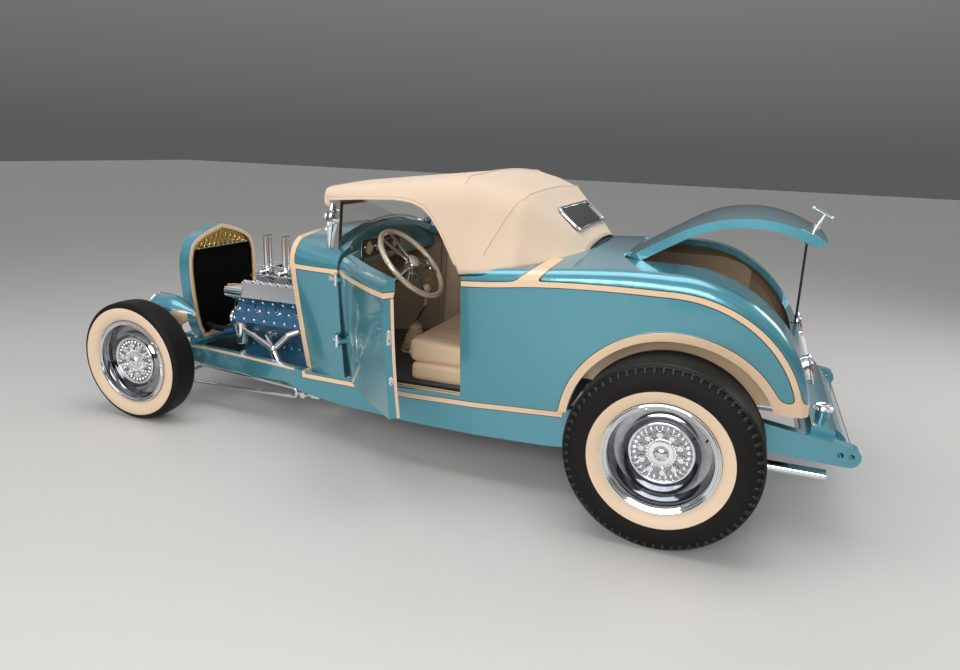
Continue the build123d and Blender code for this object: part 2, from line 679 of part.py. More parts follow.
# Torque tube from the housing forward to the gearbox
GEARBOX_REAR = (40, 285)
with BuildPart() as torque_tube:
    with BuildSketch(across(REAR_AXLE_X + 20, 0, REAR_TYRE_R - 4)):
        Circle(52)
    with BuildSketch(across(GEARBOX_REAR[0] - SEAT_GAP, 0, GEARBOX_REAR[1])):
        Circle(34)
    loft()
    add(rear_axle.part, mode=Mode.SUBTRACT)
    add(crossmembers.part, mode=Mode.SUBTRACT)
keep(torque_tube, "torque_tube")

# Rear spring
with BuildPart() as rear_spring:
    for i, half in enumerate([488, 360, 240]):
        with Locations((-1490, 0, 420 - SEAT_GAP - (2 - i + 0.5) * LEAF_T)):
            Box(50, 2 * half, LEAF_T)
    for y in (-470, 470):
        with Locations((-1432, y, 382)):
            Box(166, 24, 34)
    add(rear_axle.part, mode=Mode.SUBTRACT)
keep(rear_spring, "rear_spring")

# Engine: a vee block with a flat head on each bank
CRANK_Z = 320
BLOCK_X = (572, 1112)
BANK_REACH = 226
HEAD_T = 54
HEAD_W = 152
BANK_ANGLES = {"left": -45, "right": 45}
block_mid = (BLOCK_X[0] + BLOCK_X[1]) / 2
block_len = BLOCK_X[1] - BLOCK_X[0]


def bank_plane(angle, reach):
    """A plane square to a bank, at its reach from the crank, drawn in (x, across)."""
    a = radians(angle)
    out = (0, -sin(a), cos(a))
    return Plane(
        origin=(block_mid, out[1] * reach, CRANK_Z + out[2] * reach), x_dir=(1, 0, 0), z_dir=out
    )


with BuildPart() as engine_block:
    with Locations((block_mid, 0, CRANK_Z - 10)):
        Box(block_len, 250, 180)
    with Locations((block_mid - 10, 0, CRANK_Z - 124)):
        Box(block_len - 60, 190, 50)
    for angle in BANK_ANGLES.values():
        with BuildSketch(bank_plane(angle, 0)):
            Rectangle(block_len, HEAD_W - 8)
        extrude(amount=BANK_REACH)
keep(engine_block, "engine_block")

with BuildPart() as cylinder_heads:
    for angle in BANK_ANGLES.values():
        with BuildSketch(bank_plane(angle, BANK_REACH)):
            RectangleRounded(block_len - 20, HEAD_W, 30)
        extrude(amount=HEAD_T)
keep(cylinder_heads, "cylinder_heads")

# Intake: a wide cover over the valley, carburettors along it and a pair of stacks on each
CARB_X = (765, 890, 1015)
COVER_HALF = [(110, 560), (184, 585), (150, 662), (128, 674)]
STACK_Y = 19
STACK_R = 13
STACK_BASE_Z = 738
STACK_TOP_Z = 922
with BuildPart() as intake:
    with BuildSketch(across(BLOCK_X[0] + 24)):
        with BuildLine():
            Polyline(*COVER_HALF, *[(-y, z) for y, z in reversed(COVER_HALF)], close=True)
        make_face()
    extrude(amount=block_len - 44)
    for x in CARB_X:
        with Locations((x, 0, 684)):
            Box(86, 128, 24)
        with Locations((x, 0, 706)):
            Cylinder(38, 40)
            Box(54, 104, 40)
        with Locations((x, 0, 730)):
            Cylinder(44, 16)
        for y in (-STACK_Y, STACK_Y):
            with Locations((x, y, (STACK_BASE_Z + STACK_TOP_Z) / 2)):
                Cylinder(STACK_R, STACK_TOP_Z - STACK_BASE_Z)
            with Locations((x, y, STACK_TOP_Z - 20)):
                Cylinder(STACK_R - 2.5, 60, mode=Mode.SUBTRACT)
    add(engine_block.part, mode=Mode.SUBTRACT)
    add(cylinder_heads.part, mode=Mode.SUBTRACT)
keep(intake, "intake")

# Headers: a front and a rear pipe on each side run together in a Y, then down and back
COLLECTOR = (660, 312, 232)
HEADER_JOIN = (776, 300, 350)
HEADER_R = 17
with BuildPart() as exhaust_headers:
    for s in (1, -1):
        join = (HEADER_JOIN[0], s * HEADER_JOIN[1], HEADER_JOIN[2])
        for route in (
            [(1062, s * 140, 424), (1062, s * 224, 424), (930, s * 266, 402), join],
            [(868, s * 140, 400), (868, s * 232, 400), join],
            [(654, s * 140, 436), (654, s * 226, 452), (706, s * 258, 430), join],
        ):
            add(tube(route, HEADER_R, 20))
        with Locations(join):
            Sphere(24)
        add(tube([join, (736, s * 306, 262), (COLLECTOR[0], s * COLLECTOR[1], COLLECTOR[2])], 21, 24))
        with Locations((COLLECTOR[0], s * COLLECTOR[1], COLLECTOR[2])):
            Sphere(30)
        with Locations(*[(x, s * 172, 412) for x in (1062, 868)], (654, s * 172, 442)):
            Box(70, 34, 52)
    add(engine_block.part, mode=Mode.SUBTRACT)
    add(cylinder_heads.part, mode=Mode.SUBTRACT)
keep(exhaust_headers, "exhaust_headers")

with BuildPart() as exhaust_pipes:
    for s in (1, -1):
        add(
            tube(
                [(COLLECTOR[0] - 20, s * COLLECTOR[1], COLLECTOR[2] - 10), (400, s * 330, 168),
                 (-800, s * 380, 168), (-1300, s * 380, 222), (-1960, s * 380, 222)], 26, 60,
            )
        )
    add(exhaust_headers.part, mode=Mode.SUBTRACT)
    add(crossmembers.part, mode=Mode.SUBTRACT)
keep(exhaust_pipes, "exhaust_pipes")

# Front of the engine: crank pulley, two water pumps, a dynamo and the fan
FAN_Z = 470
with BuildPart() as engine_front:
    with Locations((BLOCK_X[1] + 15, 0, CRANK_Z - 40)):
        Cylinder(70, 30 - 2 * SEAT_GAP, rotation=(0, 90, 0))
    with Locations((BLOCK_X[1] + 22, 90, 420), (BLOCK_X[1] + 22, -90, 420)):
        Cylinder(48, 44 - 2 * SEAT_GAP, rotation=(0, 90, 0))
    with Locations((BLOCK_X[1] + 30, 0, FAN_Z)):
        Cylinder(34, 60 - 2 * SEAT_GAP, rotation=(0, 90, 0))
        Cylinder(58, 16, rotation=(0, 90, 0))
    with Locations((BLOCK_X[1] + 62, 0, FAN_Z)):
        Cylinder(30, 18, rotation=(0, 90, 0))
        for angle in (0, 45, 90, 135):
            Box(5, 40, 300, rotation=(angle, 0, 0))
    with Locations((BLOCK_X[1] + 20, 132, 604)):
        Cylinder(50, 120, rotation=(0, 90, 0))
    with Locations((BLOCK_X[1] + 80, 132, 604)):
        Sphere(42)
    with Locations((BLOCK_X[1] + 6, 100, 550)):
        Box(40, 70, 90)
    add(engine_block.part, mode=Mode.SUBTRACT)
    add(cylinder_heads.part, mode=Mode.SUBTRACT)
    add(intake.part, mode=Mode.SUBTRACT)
keep(engine_front, "engine_front")

with BuildPart() as gearbox:
    with BuildSketch(across(BLOCK_X[0] - SEAT_GAP, 0, 290)):
        Circle(150)
    with BuildSketch(across(BLOCK_X[0] - 40, 0, 286)):
        Circle(138)
    with BuildSketch(across(COWL_FRONT_X + 4, 0, 262)):
        Circle(60)
    with BuildSketch(across(GEARBOX_REAR[0], 0, GEARBOX_REAR[1] - 4)):
        Circle(44)
    loft(ruled=True)
keep(gearbox, "gearbox")

# Radiator and grille shell
SHELL_LOW_Z = 318 + SEAT_GAP
GRILLE_HALF = [
    (208, SHELL_LOW_Z), (248, 410), (274, 560), (284, 700), (276, 800), (240, 876), (150, 926), (0, 967),
]
GRILLE_STEPS = 20
SHELL_X = (1336, 1404)
SHELL_WALL = 24


def grille_outline(inset):
    """The grille shell's outline drawn in by inset, in short straight steps."""
    curve = Spline(*GRILLE_HALF)
    half = [curve @ (i / GRILLE_STEPS) for i in range(GRILLE_STEPS + 1)]
    half = [(point.X, point.Y) for point in half]
    with BuildSketch(across(SHELL_X[0])) as outline:
        with BuildLine():
            Polyline(*half, *[(-y, z) for y, z in half[-2::-1]], close=True)
        make_face()
        if inset:
            offset(amount=-inset, kind=Kind.INTERSECTION, mode=Mode.REPLACE)
    return outline.sketch


with BuildPart() as grille_opening:
    extrude(grille_outline(SHELL_WALL + SEAT_GAP), amount=200, dir=(1, 0, 0))
with BuildPart() as grille_shell:
    extrude(grille_outline(0), amount=SHELL_X[1] - SHELL_X[0], dir=(1, 0, 0))
    extrude(grille_outline(SHELL_WALL), amount=200, dir=(1, 0, 0), mode=Mode.SUBTRACT)
    for rail in rails.values():
        add(rail, mode=Mode.SUBTRACT)
keep(grille_shell, "grille_shell")

BAR_SPACE = 22
BARS_X = SHELL_X[1] - 12
with BuildPart() as grille_bars:
    with Locations(*[(BARS_X, i * BAR_SPACE, 620) for i in range(-12, 13)]):
        Box(12, 8, 760)
    with Locations((BARS_X, 0, 620)):
        Box(10, 700, 10)
    add(grille_opening.part, mode=Mode.INTERSECT)
keep(grille_bars, "grille_bars")

RADIATOR_X = (1358, 1384)
with BuildPart() as radiator:
    with Locations(((RADIATOR_X[0] + RADIATOR_X[1]) / 2, 0, 620)):
        Box(RADIATOR_X[1] - RADIATOR_X[0], 700, 760)
    add(grille_opening.part, mode=Mode.INTERSECT)
keep(radiator, "radiator")

# Headlamps on posts from the rails
LAMP = (1310, 430, 528)
LAMP_HALF = [
    (112, 0), (112, 84), (102, 91), (70, 92), (20, 88), (-40, 70), (-95, 38), (-135, 12), (-144, 0),
]
LAMP_POST_X = LAMP[0] - 20
with BuildPart() as headlamps:
    for s in (1, -1):
        with BuildSketch(side(s * LAMP[1], LAMP[0], LAMP[2])):
            with BuildLine():
                Line(LAMP_HALF[0], LAMP_HALF[1])
                Spline(*LAMP_HALF[1:])
                Line(LAMP_HALF[-1], LAMP_HALF[0])
            make_face()
        revolve(axis=Axis((LAMP[0], s * LAMP[1], LAMP[2]), (1, 0, 0)))
        add(
            tube(
                [(LAMP_POST_X, s * LAMP[1], LAMP[2] - 60), (LAMP_POST_X, s * LAMP[1], 400),
                 (LAMP_POST_X, s * 345, 372), (LAMP_POST_X, s * 345, 305)], 12, 22,
            )
        )
    for rail in rails.values():
        add(rail, mode=Mode.SUBTRACT)
keep(headlamps, "headlamps")

# Windshield
SHIELD_RAKE = 8.4
SHIELD_FOOT = (250, 935)
SHIELD_TOP_Z = 1194
SHIELD_HALF_W = 500
rake = radians(SHIELD_RAKE)
shield_plane = Plane(
    origin=(SHIELD_FOOT[0], 0, SHIELD_FOOT[1]), x_dir=(0, 1, 0), z_dir=(cos(rake), 0, sin(rake))
)
SHIELD_H = (SHIELD_TOP_Z - SHIELD_FOOT[1]) / cos(rake)


def shield_outline(inset, drop=0):
    """The windshield's outline drawn in by inset, its foot on the cowl and let down by drop."""
    y, top = SHIELD_HALF_W - inset, SHIELD_H - inset
    low = inset - drop
    with BuildSketch(shield_plane) as outline:
        with BuildLine():
            Polyline((y, 52 + low), (y, top), (-y, top), (-y, 52 + low))
            ThreePointArc((-y, 52 + low), (0, 136 + low), (y, 52 + low))
        make_face()
    return outline.sketch


with BuildPart() as windshield:
    add(shield_outline(0, 30))
    extrude(amount=8, both=True)
    add(shield_outline(14))
    extrude(amount=20, both=True, mode=Mode.SUBTRACT)
    for s in (1, -1):
        with BuildSketch(side(s * (SHIELD_HALF_W + 5))):
            with BuildLine():
                Polyline(
                    (SHIELD_FOOT[0] + 30, 930), (SHIELD_FOOT[0] - 18, 1192), (SHIELD_FOOT[0] - 50, 1192),
                    (SHIELD_FOOT[0] - 30, 930), close=True,
                )
            make_face()
        extrude(amount=13, both=True)
    add(body_cover, mode=Mode.SUBTRACT)
keep(windshield, "windshield_frame")
with BuildPart() as glass:
    add(shield_outline(14 + SEAT_GAP))
    extrude(amount=2.5, both=True)
keep(glass, "windshield_glass")

# Folding top: a padded fabric shell from the header to the deck
# place, low half width, low, edge half width, edge height, corner half width, crown
TOP_SECTIONS = [
    (276, 520, 1186, 528, 1210, 502, 1248, 1272),
    (0, 556, 1120, 560, 1222, 520, 1278, 1304),
    (-430, 648, 934, 590, 1262, 528, 1328, 1352),
    (-560, 646, 950, 556, 1244, 492, 1300, 1326),
    (-670, 616, 974, 514, 1218, 448, 1260, 1278),
    (-850, 462, 1000, 352, 1084, 300, 1106, 1117),
    (-925, 340, 1010, 230, 1036, 160, 1042, 1050),
]
TOP_T = 26


def top_loft(inset):
    """The folding top's form, drawn in by inset."""
    sections = []
    for x, low_y, low, edge_y, edge, corner_y, corner, crown in TOP_SECTIONS:
        with BuildSketch(across(x)) as outline:
            with BuildLine():
                half = [
                    (low_y - inset, low - inset), (edge_y - inset, edge - inset),
                    (corner_y - inset, corner - inset),
                ]
                Polyline(*half)
                Polyline(*[(-y, z) for y, z in half])
                ThreePointArc(half[2], (0, crown - inset), (-half[2][0], half[2][1]))
                Line((-half[0][0], half[0][1]), half[0])
            make_face()
        sections.append(outline.sketch)
    with BuildPart() as form:
        loft(sections, ruled=True)
    return form.part


# Rear window in the top's back panel
WINDOW_AT = (-806, 0, 1159)
WINDOW_LEAN = radians(41.5)
WINDOW_SIZE = (548, 122)
WINDOW_T = 14


def window_outline(grow):
    """The rear window's outline on the back panel, grown all round."""
    with BuildSketch(
        Plane(origin=WINDOW_AT, x_dir=(0, 1, 0), z_dir=(-sin(WINDOW_LEAN), 0, cos(WINDOW_LEAN)))
    ) as outline:
        RectangleRounded(WINDOW_SIZE[0] + 2 * grow, WINDOW_SIZE[1] + 2 * grow, 22)
    return outline.sketch


with BuildPart() as top_hollow:
    add(top_loft(TOP_T))
    with Locations((TOP_SECTIONS[0][0] - TOP_T - 1000, 0, 1000)):
        Box(2000, 3000, 3000, mode=Mode.INTERSECT)
with BuildPart() as soft_top:
    add(top_loft(0))
    add(top_hollow.part, mode=Mode.SUBTRACT)
    add(
        band([(400, 1190), (276, 1196), (60, 1214), (-110, 1222), (-190, 1216), (-240, 1200),
              (-280, 1172), (-318, 1130), (-356, 1078), (-400, 1010), (-446, 944), (-446, 700),
              (400, 700)], 900),
        mode=Mode.SUBTRACT,
    )
    add(body_cover, mode=Mode.SUBTRACT)
    extrude(window_outline(SEAT_GAP), amount=120, both=True, mode=Mode.SUBTRACT)
keep(soft_top, "soft_top")
with BuildPart() as rear_window:
    extrude(window_outline(0), amount=-WINDOW_T)
keep(rear_window, "rear_window")

# Seat: a base box, the cushion on it and the back against the bulkhead
SEAT_HALF_W = 505
SEAT_BASE = (-150, -640)
SEAT_BASE_TOP = 478
with BuildPart() as seat_base:
    add(
        band(
            [(SEAT_BASE[0], sill_z(SEAT_BASE[0]) + FLOOR_T + SEAT_GAP), (SEAT_BASE[0], SEAT_BASE_TOP),
             (SEAT_BASE[1], SEAT_BASE_TOP), (SEAT_BASE[1], sill_z(SEAT_BASE[1]) + FLOOR_T + SEAT_GAP)],
            SEAT_HALF_W,
        )
    )
keep(seat_base, "seat_base")
with BuildPart() as seat_cushion:
    add(
        band(
            [(-138, SEAT_BASE_TOP + SEAT_GAP), (-132, 560), (-170, 600), (-640, 570),
             (-640, SEAT_BASE_TOP + SEAT_GAP)], SEAT_HALF_W,
        )
    )
keep(seat_cushion, "seat_cushion")
with BuildPart() as seat_back:
    add(
        band(
            [(-645, SEAT_BASE_TOP + 20), (-600, 600), (-690, 940), (-740, 962), (-800, 940),
             (BULKHEAD_X + SEAT_GAP, 700), (BULKHEAD_X + SEAT_GAP, SEAT_BASE_TOP + 20)], SEAT_HALF_W,
        )
    )
    add(seat_cushion.part, mode=Mode.SUBTRACT)
    add(liner, mode=Mode.INTERSECT)
keep(seat_back, "seat_back")

# Steering column and wheel
WHEEL_HUB = (-80, 350, 910)
COLUMN_DIR = (0.73, 0, -0.683)
WHEEL_R = 190
RIM_R = 12
with BuildPart() as steering_wheel:
    with BuildSketch(Plane(origin=WHEEL_HUB, z_dir=COLUMN_DIR)) as spokes:
        with PolarLocations(0, 3, start_angle=90):
            Rectangle(WHEEL_R, 16, align=(Align.MIN, Align.CENTER))
    extrude(amount=4, both=True)
    with BuildSketch(Plane(origin=WHEEL_HUB, z_dir=COLUMN_DIR)):
        Circle(30)
    extrude(amount=16, both=True)
    with Locations(Plane(origin=WHEEL_HUB, z_dir=COLUMN_DIR)):
        Torus(WHEEL_R, RIM_R)
keep(steering_wheel, "steering_wheel")
with BuildPart() as steering_column:
    with BuildSketch(Plane(origin=WHEEL_HUB, z_dir=COLUMN_DIR).offset(17)):
        Circle(19)
    extrude(amount=900)
    with Locations((FIREWALL_X + 500 - SEAT_GAP, 0, 600)):
        Box(1000, 2000, 2000, mode=Mode.SUBTRACT)
    with Locations((DASH_X - 22, WHEEL_HUB[1], 760)):
        Box(26, 60, 2 * (DASH_LOW_Z - 760 - SEAT_GAP))
keep(steering_column, "steering_column")

# Gear lever in its boot
with BuildPart() as gear_lever:
    lever_x, lever_y = 60, 40
    with BuildSketch(Plane.XY.offset(sill_z(lever_x - 70) + FLOOR_T + SEAT_GAP)):
        with Locations((lever_x, lever_y)):
            Circle(62)
    with BuildSketch(Plane.XY.offset(470)):
        with Locations((lever_x, lever_y)):
            Circle(26)
    loft()
    add(
        tube(
            [(lever_x, lever_y, 440), (lever_x, lever_y, 520), (lever_x - 70, lever_y + 10, 640),
             (lever_x - 78, lever_y + 12, 720)], 8, 50,
        )
    )
    with Locations((lever_x - 78, lever_y + 12, 730)):
        Sphere(22)
keep(gear_lever, "gear_lever")

# Fuel tank between the rear horns, narrower behind so that the horns' bores stay free
TANK_STEP_X = -1952
TANK_REAR_HALF_W = 440
CAP_AT = (-1911, 380, 488)
with BuildPart() as tank_form:
    with BuildSketch(side()):
        with BuildLine():
            tank_top = ThreePointArc((-1866, 470), (-1925, 467), (-1976, 436))
            tank_rear = ThreePointArc((-1976, 436), (-2003, 404), (-2008, 366))
            Polyline((-2008, 366), (-1996, 352), (-1866, 352), (-1866, 470))
        make_face()
    extrude(amount=700, both=True)
with BuildPart() as tank_middle:
    with Locations((-1940, 0, 400)):
        Box(300, 2 * TANK_REAR_HALF_W, 400)
    add(tank_form.part, mode=Mode.INTERSECT)
with BuildPart() as fuel_tank:
    add(tank_form.part)
    with Locations((TANK_STEP_X + 100, 0, 400)):
        Box(200, 1400, 400, mode=Mode.INTERSECT)
    add(
        slab(mirrored_plan([(x, y - RAIL_T - SEAT_GAP) for x, y in RAIL_OUTER]), 100, 700),
        mode=Mode.INTERSECT,
    )
    add(tank_middle.part)
    with Locations(CAP_AT):
        Cylinder(26, 40)
    with Locations((CAP_AT[0], CAP_AT[1], CAP_AT[2] + 18)):
        Cylinder(34, 14)
    for member in (crossmembers.part, trunk_floor.part):
        add(member, mode=Mode.SUBTRACT)
keep(fuel_tank, "fuel_tank")

# Spreader bars between the horns, front and rear
with BuildPart() as spreader_bars:
    for x, z, y in ((1630, 270, 362 - RAIL_T - SEAT_GAP), (-2028, 353, 496)):
        with Locations((x, 0, z)):
            Cylinder(11, 2 * y, rotation=(90, 0, 0))
    for rail in rails.values():
        add(rail, mode=Mode.SUBTRACT)
keep(spreader_bars, "spreader_bars")

# Tail lamps: slim upright lenses on the tail
TAIL_LAMP = (-1838, 400, 662)
TAIL_LAMP_LEAN = radians(14)
with BuildPart() as tail_lamps:
    for s in (1, -1):
        with BuildPart() as lamp:
            with BuildSketch(
                Plane(
                    origin=(TAIL_LAMP[0], s * TAIL_LAMP[1], TAIL_LAMP[2]), x_dir=(0, 1, 0),
                    z_dir=(cos(TAIL_LAMP_LEAN), 0, -sin(TAIL_LAMP_LEAN)),
                )
            ):
                Ellipse(27, 58)
            extrude(amount=90)
        add(lamp.part)
    add(body_cover, mode=Mode.SUBTRACT)
keep(tail_lamps, "tail_lamps")

# Prop rod, held between the lid's ears, its foot on the striker in the tail's notch
with BuildPart() as prop_rod:
    with Locations((LATCH[0], 0, LATCH[1])):
        Cylinder(8, 2 * (ROD_EAR_Y - 2.5 - SEAT_GAP), rotation=(90, 0, 0))
    add(tube([(LATCH[0], 0, LATCH[1] - 4), (ROD_FOOT[0], 0, ROD_FOOT[1])], PROP_R, 0))
keep(prop_rod, "prop_rod")

# Striker: a plate along the tail's outside, with a sloped block in the notch
STRIKER_TOP_Z = ROD_FOOT[1] - 2
NOTCH_LOW_Z = ROD_FOOT[1] + 22 - 40
with BuildPart() as striker:
    add(body_loft(-12, -12))
    add(body_cover, mode=Mode.SUBTRACT)
    with Locations((-1850, 0, 664)):
        Box(200, 44, 108, mode=Mode.INTERSECT)
    add(
        band([(-1822, NOTCH_LOW_Z + SEAT_GAP), (-1822, STRIKER_TOP_Z), (-1798, STRIKER_TOP_Z),
              (-1778, STRIKER_TOP_Z - 14), (-1778, NOTCH_LOW_Z + SEAT_GAP)],
             ROD_NOTCH_W / 2 - SEAT_GAP)
    )
keep(striker, "striker")
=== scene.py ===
# %% [markdown]
# A fenderless street rod roadster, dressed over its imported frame. The frame gives every
# rigid piece at its true place, so this lesson only adds what a body shop, a trimmer and
# a wheel maker would: paint, plating, rubber, cloth, hide and the small fittings. All
# lengths are metres, X runs forward, Y to the car's left and Z up.

# %% The frame
import json
import math
from collections import namedtuple
from functools import partial

import bmesh
import bpy
from mathutils import Matrix, Vector


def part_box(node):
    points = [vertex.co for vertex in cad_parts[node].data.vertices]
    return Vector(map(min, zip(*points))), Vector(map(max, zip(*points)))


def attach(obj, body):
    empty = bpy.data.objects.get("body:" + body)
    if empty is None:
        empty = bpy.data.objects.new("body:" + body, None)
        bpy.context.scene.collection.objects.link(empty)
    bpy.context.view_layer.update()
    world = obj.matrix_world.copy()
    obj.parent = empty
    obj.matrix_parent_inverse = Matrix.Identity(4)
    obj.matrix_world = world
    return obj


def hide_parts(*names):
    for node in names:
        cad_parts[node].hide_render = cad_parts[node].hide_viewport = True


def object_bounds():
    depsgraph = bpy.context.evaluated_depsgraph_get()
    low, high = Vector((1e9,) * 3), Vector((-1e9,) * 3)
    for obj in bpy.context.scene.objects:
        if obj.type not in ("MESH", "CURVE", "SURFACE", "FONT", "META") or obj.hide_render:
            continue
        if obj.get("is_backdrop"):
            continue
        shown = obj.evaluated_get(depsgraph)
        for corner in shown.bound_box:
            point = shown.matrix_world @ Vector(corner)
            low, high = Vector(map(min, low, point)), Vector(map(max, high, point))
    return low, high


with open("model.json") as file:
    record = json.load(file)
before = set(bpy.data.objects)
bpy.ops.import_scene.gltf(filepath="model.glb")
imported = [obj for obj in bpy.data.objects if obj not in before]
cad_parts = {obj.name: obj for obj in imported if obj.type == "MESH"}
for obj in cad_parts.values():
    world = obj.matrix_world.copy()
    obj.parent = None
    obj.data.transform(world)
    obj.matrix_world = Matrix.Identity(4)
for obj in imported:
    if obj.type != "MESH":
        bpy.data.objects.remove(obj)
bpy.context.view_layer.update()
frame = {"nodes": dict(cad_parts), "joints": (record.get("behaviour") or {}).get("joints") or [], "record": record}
nodes = frame["nodes"]
hinge_at = {j["name"]: Vector(j["pos_m"]) for j in frame["joints"] if j.get("pos_m")}
WHEEL_NAMES = ("front_left", "front_right", "rear_left", "rear_right")
SIDES = (("left", 1), ("right", -1))
CAR = sum((hinge_at[f"{wheel}_spin"] for wheel in WHEEL_NAMES), Vector()) / 4
CAR.z = 0
print(len(nodes), "pieces; the car's centreline is at y", round(CAR.y, 3))

# %% [markdown]
# The camera stands at the car's left rear quarter, a little above eye height of a seated
# person. Its place was worked out from the two near wheels and the horizon, so it is
# written as a place, two turns and a small tilt, not as a look-at target.

# %% The camera
PHOTO_WIDE_PX = 960
FOCAL_PX = 691.9
SENSOR = 36.0
EYE = CAR + Vector((-1.5373, 3.2720, 1.4613))
HEADING, DIP, TILT = -1.2111, 0.2681, 0.0366

forward = Vector((
    math.cos(DIP) * math.cos(HEADING),
    math.cos(DIP) * math.sin(HEADING),
    -math.sin(DIP),
))
level_right = forward.cross(Vector((0, 0, 1))).normalized()
level_up = level_right.cross(forward)
right = math.cos(TILT) * level_right + math.sin(TILT) * level_up
up = math.cos(TILT) * level_up - math.sin(TILT) * level_right
camera_data = bpy.data.cameras.new("photo_camera")
camera_data.sensor_width = SENSOR
camera_data.lens = FOCAL_PX / PHOTO_WIDE_PX * SENSOR
camera_data.clip_start = 0.05
camera = bpy.data.objects.new("photo_camera", camera_data)
bpy.context.scene.collection.objects.link(camera)
camera.matrix_world = Matrix.Translation(EYE) @ Matrix((right, up, -forward)).transposed().to_4x4()
bpy.context.scene.camera = camera
bpy.context.scene.view_settings.view_transform = "Standard"
print("lens", round(camera_data.lens, 2), "mm at", [round(v, 2) for v in EYE])

# %% [markdown]
# Plating and deep paint show the room more than themselves, so the room matters. It is a
# pale floor, a sky in bands that gives chrome its dark edges, and four large soft lamps.
# Light Path keeps the bright background for the eye, the mirror and the glass, while the
# light that falls on the car stays at a plain level.

# %% Small helpers for node trees
def new_material(name):
    """A material, its node tree and its shader."""
    made = bpy.data.materials.new(name)
    made.use_nodes = True
    return made, made.node_tree, made.node_tree.nodes["Principled BSDF"]


def put(tree, node, **values):
    """Sets a node's inputs from values or linked sockets, and its other settings."""
    for key, value in values.items():
        label = key.replace("_", " ")
        if label not in node.inputs:
            setattr(node, key, value)
        elif isinstance(value, bpy.types.NodeSocket):
            tree.links.new(value, node.inputs[label])
        else:
            node.inputs[label].default_value = value
    return node


def add_node(tree, kind, **values):
    return put(tree, tree.nodes.new(kind), **values)


def split(tree, place):
    """The sockets of a place's X, Y and Z."""
    return add_node(tree, "ShaderNodeSeparateXYZ", Vector=place).outputs


def ranged(tree, value, low, high, **settings):
    """A value's share of the way from low to high."""
    settings.update(Value=value, From_Min=low, From_Max=high)
    return add_node(tree, "ShaderNodeMapRange", **settings).outputs[0]


def sum_of(tree, operation, first, second=None, third=None, clamp=False):
    """One Math node; each entry is a number or a socket."""
    made = add_node(tree, "ShaderNodeMath", operation=operation, use_clamp=clamp)
    for slot, entry in enumerate((first, second, third)):
        if isinstance(entry, bpy.types.NodeSocket):
            tree.links.new(entry, made.inputs[slot])
        elif entry is not None:
            made.inputs[slot].default_value = entry
    return made.outputs[0]


# %% The room's light
# the sky from the horizon up: share of the height, brightness
SKY_BANDS = [(0.0, 0.10), (0.20, 0.19), (0.36, 0.62), (0.48, 0.22), (0.62, 0.80), (0.82, 0.34),
             (1.0, 0.62)]
SKY_TINT = (1, 1.01, 1.03)
SKY_SEEN = 1.0
SKY_LIGHT = 0.62

world = bpy.data.worlds.new("studio")
bpy.context.scene.world = world
world.use_nodes = True
sky = world.node_tree
sky.nodes.clear()
sky_place = add_node(sky, "ShaderNodeTexCoord")
sky_height = split(sky, sky_place.outputs["Generated"])["Z"]
sky_ramp = add_node(sky, "ShaderNodeValToRGB", Fac=sky_height)
sky_stops = sky_ramp.color_ramp.elements
sky_stops[0].position, sky_stops[1].position = SKY_BANDS[0][0], SKY_BANDS[-1][0]
for height, _ in SKY_BANDS[1:-1]:
    sky_stops.new(height)
for stop, (_, bright) in zip(sky_stops, SKY_BANDS):
    stop.color = (*(bright * tint for tint in SKY_TINT), 1)
rays = add_node(sky, "ShaderNodeLightPath").outputs
seen = sum_of(sky, "MAXIMUM", rays["Is Camera Ray"], rays["Is Glossy Ray"])
seen = sum_of(sky, "MAXIMUM", seen, rays["Is Transmission Ray"])
strength = sum_of(sky, "MULTIPLY_ADD", seen, SKY_SEEN - SKY_LIGHT, SKY_LIGHT)
sky_light = add_node(sky, "ShaderNodeBackground", Color=sky_ramp.outputs[0], Strength=strength)
add_node(sky, "ShaderNodeOutputWorld", Surface=sky_light.outputs[0])

# lamp: place, watts, width, height
LAMPS = {
    "overhead": ((-0.4, 0.6, 4.6), 100, 4.6, 2.6),
    "left_side": ((-0.9, 5.4, 2.3), 150, 3.6, 2.0),
    "rear_right": ((-4.6, -2.2, 2.8), 60, 2.4, 1.6),
    "front_left": ((4.4, 3.2, 2.2), 45, 2.0, 1.4),
}
NOT_IN_MIRRORS = "front_left"
AIM = Vector((-0.2, 0, 0.6))
for name, (place, watts, wide, high) in LAMPS.items():
    lamp = bpy.data.lights.new(name, "AREA")
    lamp.shape = "RECTANGLE"
    lamp.size = wide
    lamp.size_y = high
    lamp.energy = watts
    stand = bpy.data.objects.new(name, lamp)
    stand.location = CAR + Vector(place)
    stand.rotation_euler = (CAR + AIM - stand.location).to_track_quat("-Z", "Y").to_euler()
    stand.visible_glossy = name != NOT_IN_MIRRORS
    bpy.context.scene.collection.objects.link(stand)
print("sky and", len(LAMPS), "lamps")

# %% The floor
FLOOR_HALF = 30.0
FLOOR_UNDER = 0.0005
FLOOR_COLOUR = (0.66, 0.645, 0.62, 1)
floor_mesh = bpy.data.meshes.new("studio_floor")
floor_mesh.from_pydata(
    [(FLOOR_HALF * x, FLOOR_HALF * y, 0) for x, y in ((-1, -1), (1, -1), (1, 1), (-1, 1))],
    [], [(0, 1, 2, 3)],
)
floor = bpy.data.objects.new("studio_floor", floor_mesh)
floor.location.z = -FLOOR_UNDER
bpy.context.scene.collection.objects.link(floor)
floor_look, floor_tree, floor_shader = new_material("studio_floor")
put(floor_tree, floor_shader, Base_Color=FLOOR_COLOUR, Roughness=0.45)
floor_mesh.materials.append(floor_look)
floor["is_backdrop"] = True
print("floor", FLOOR_HALF * 2, "m across")

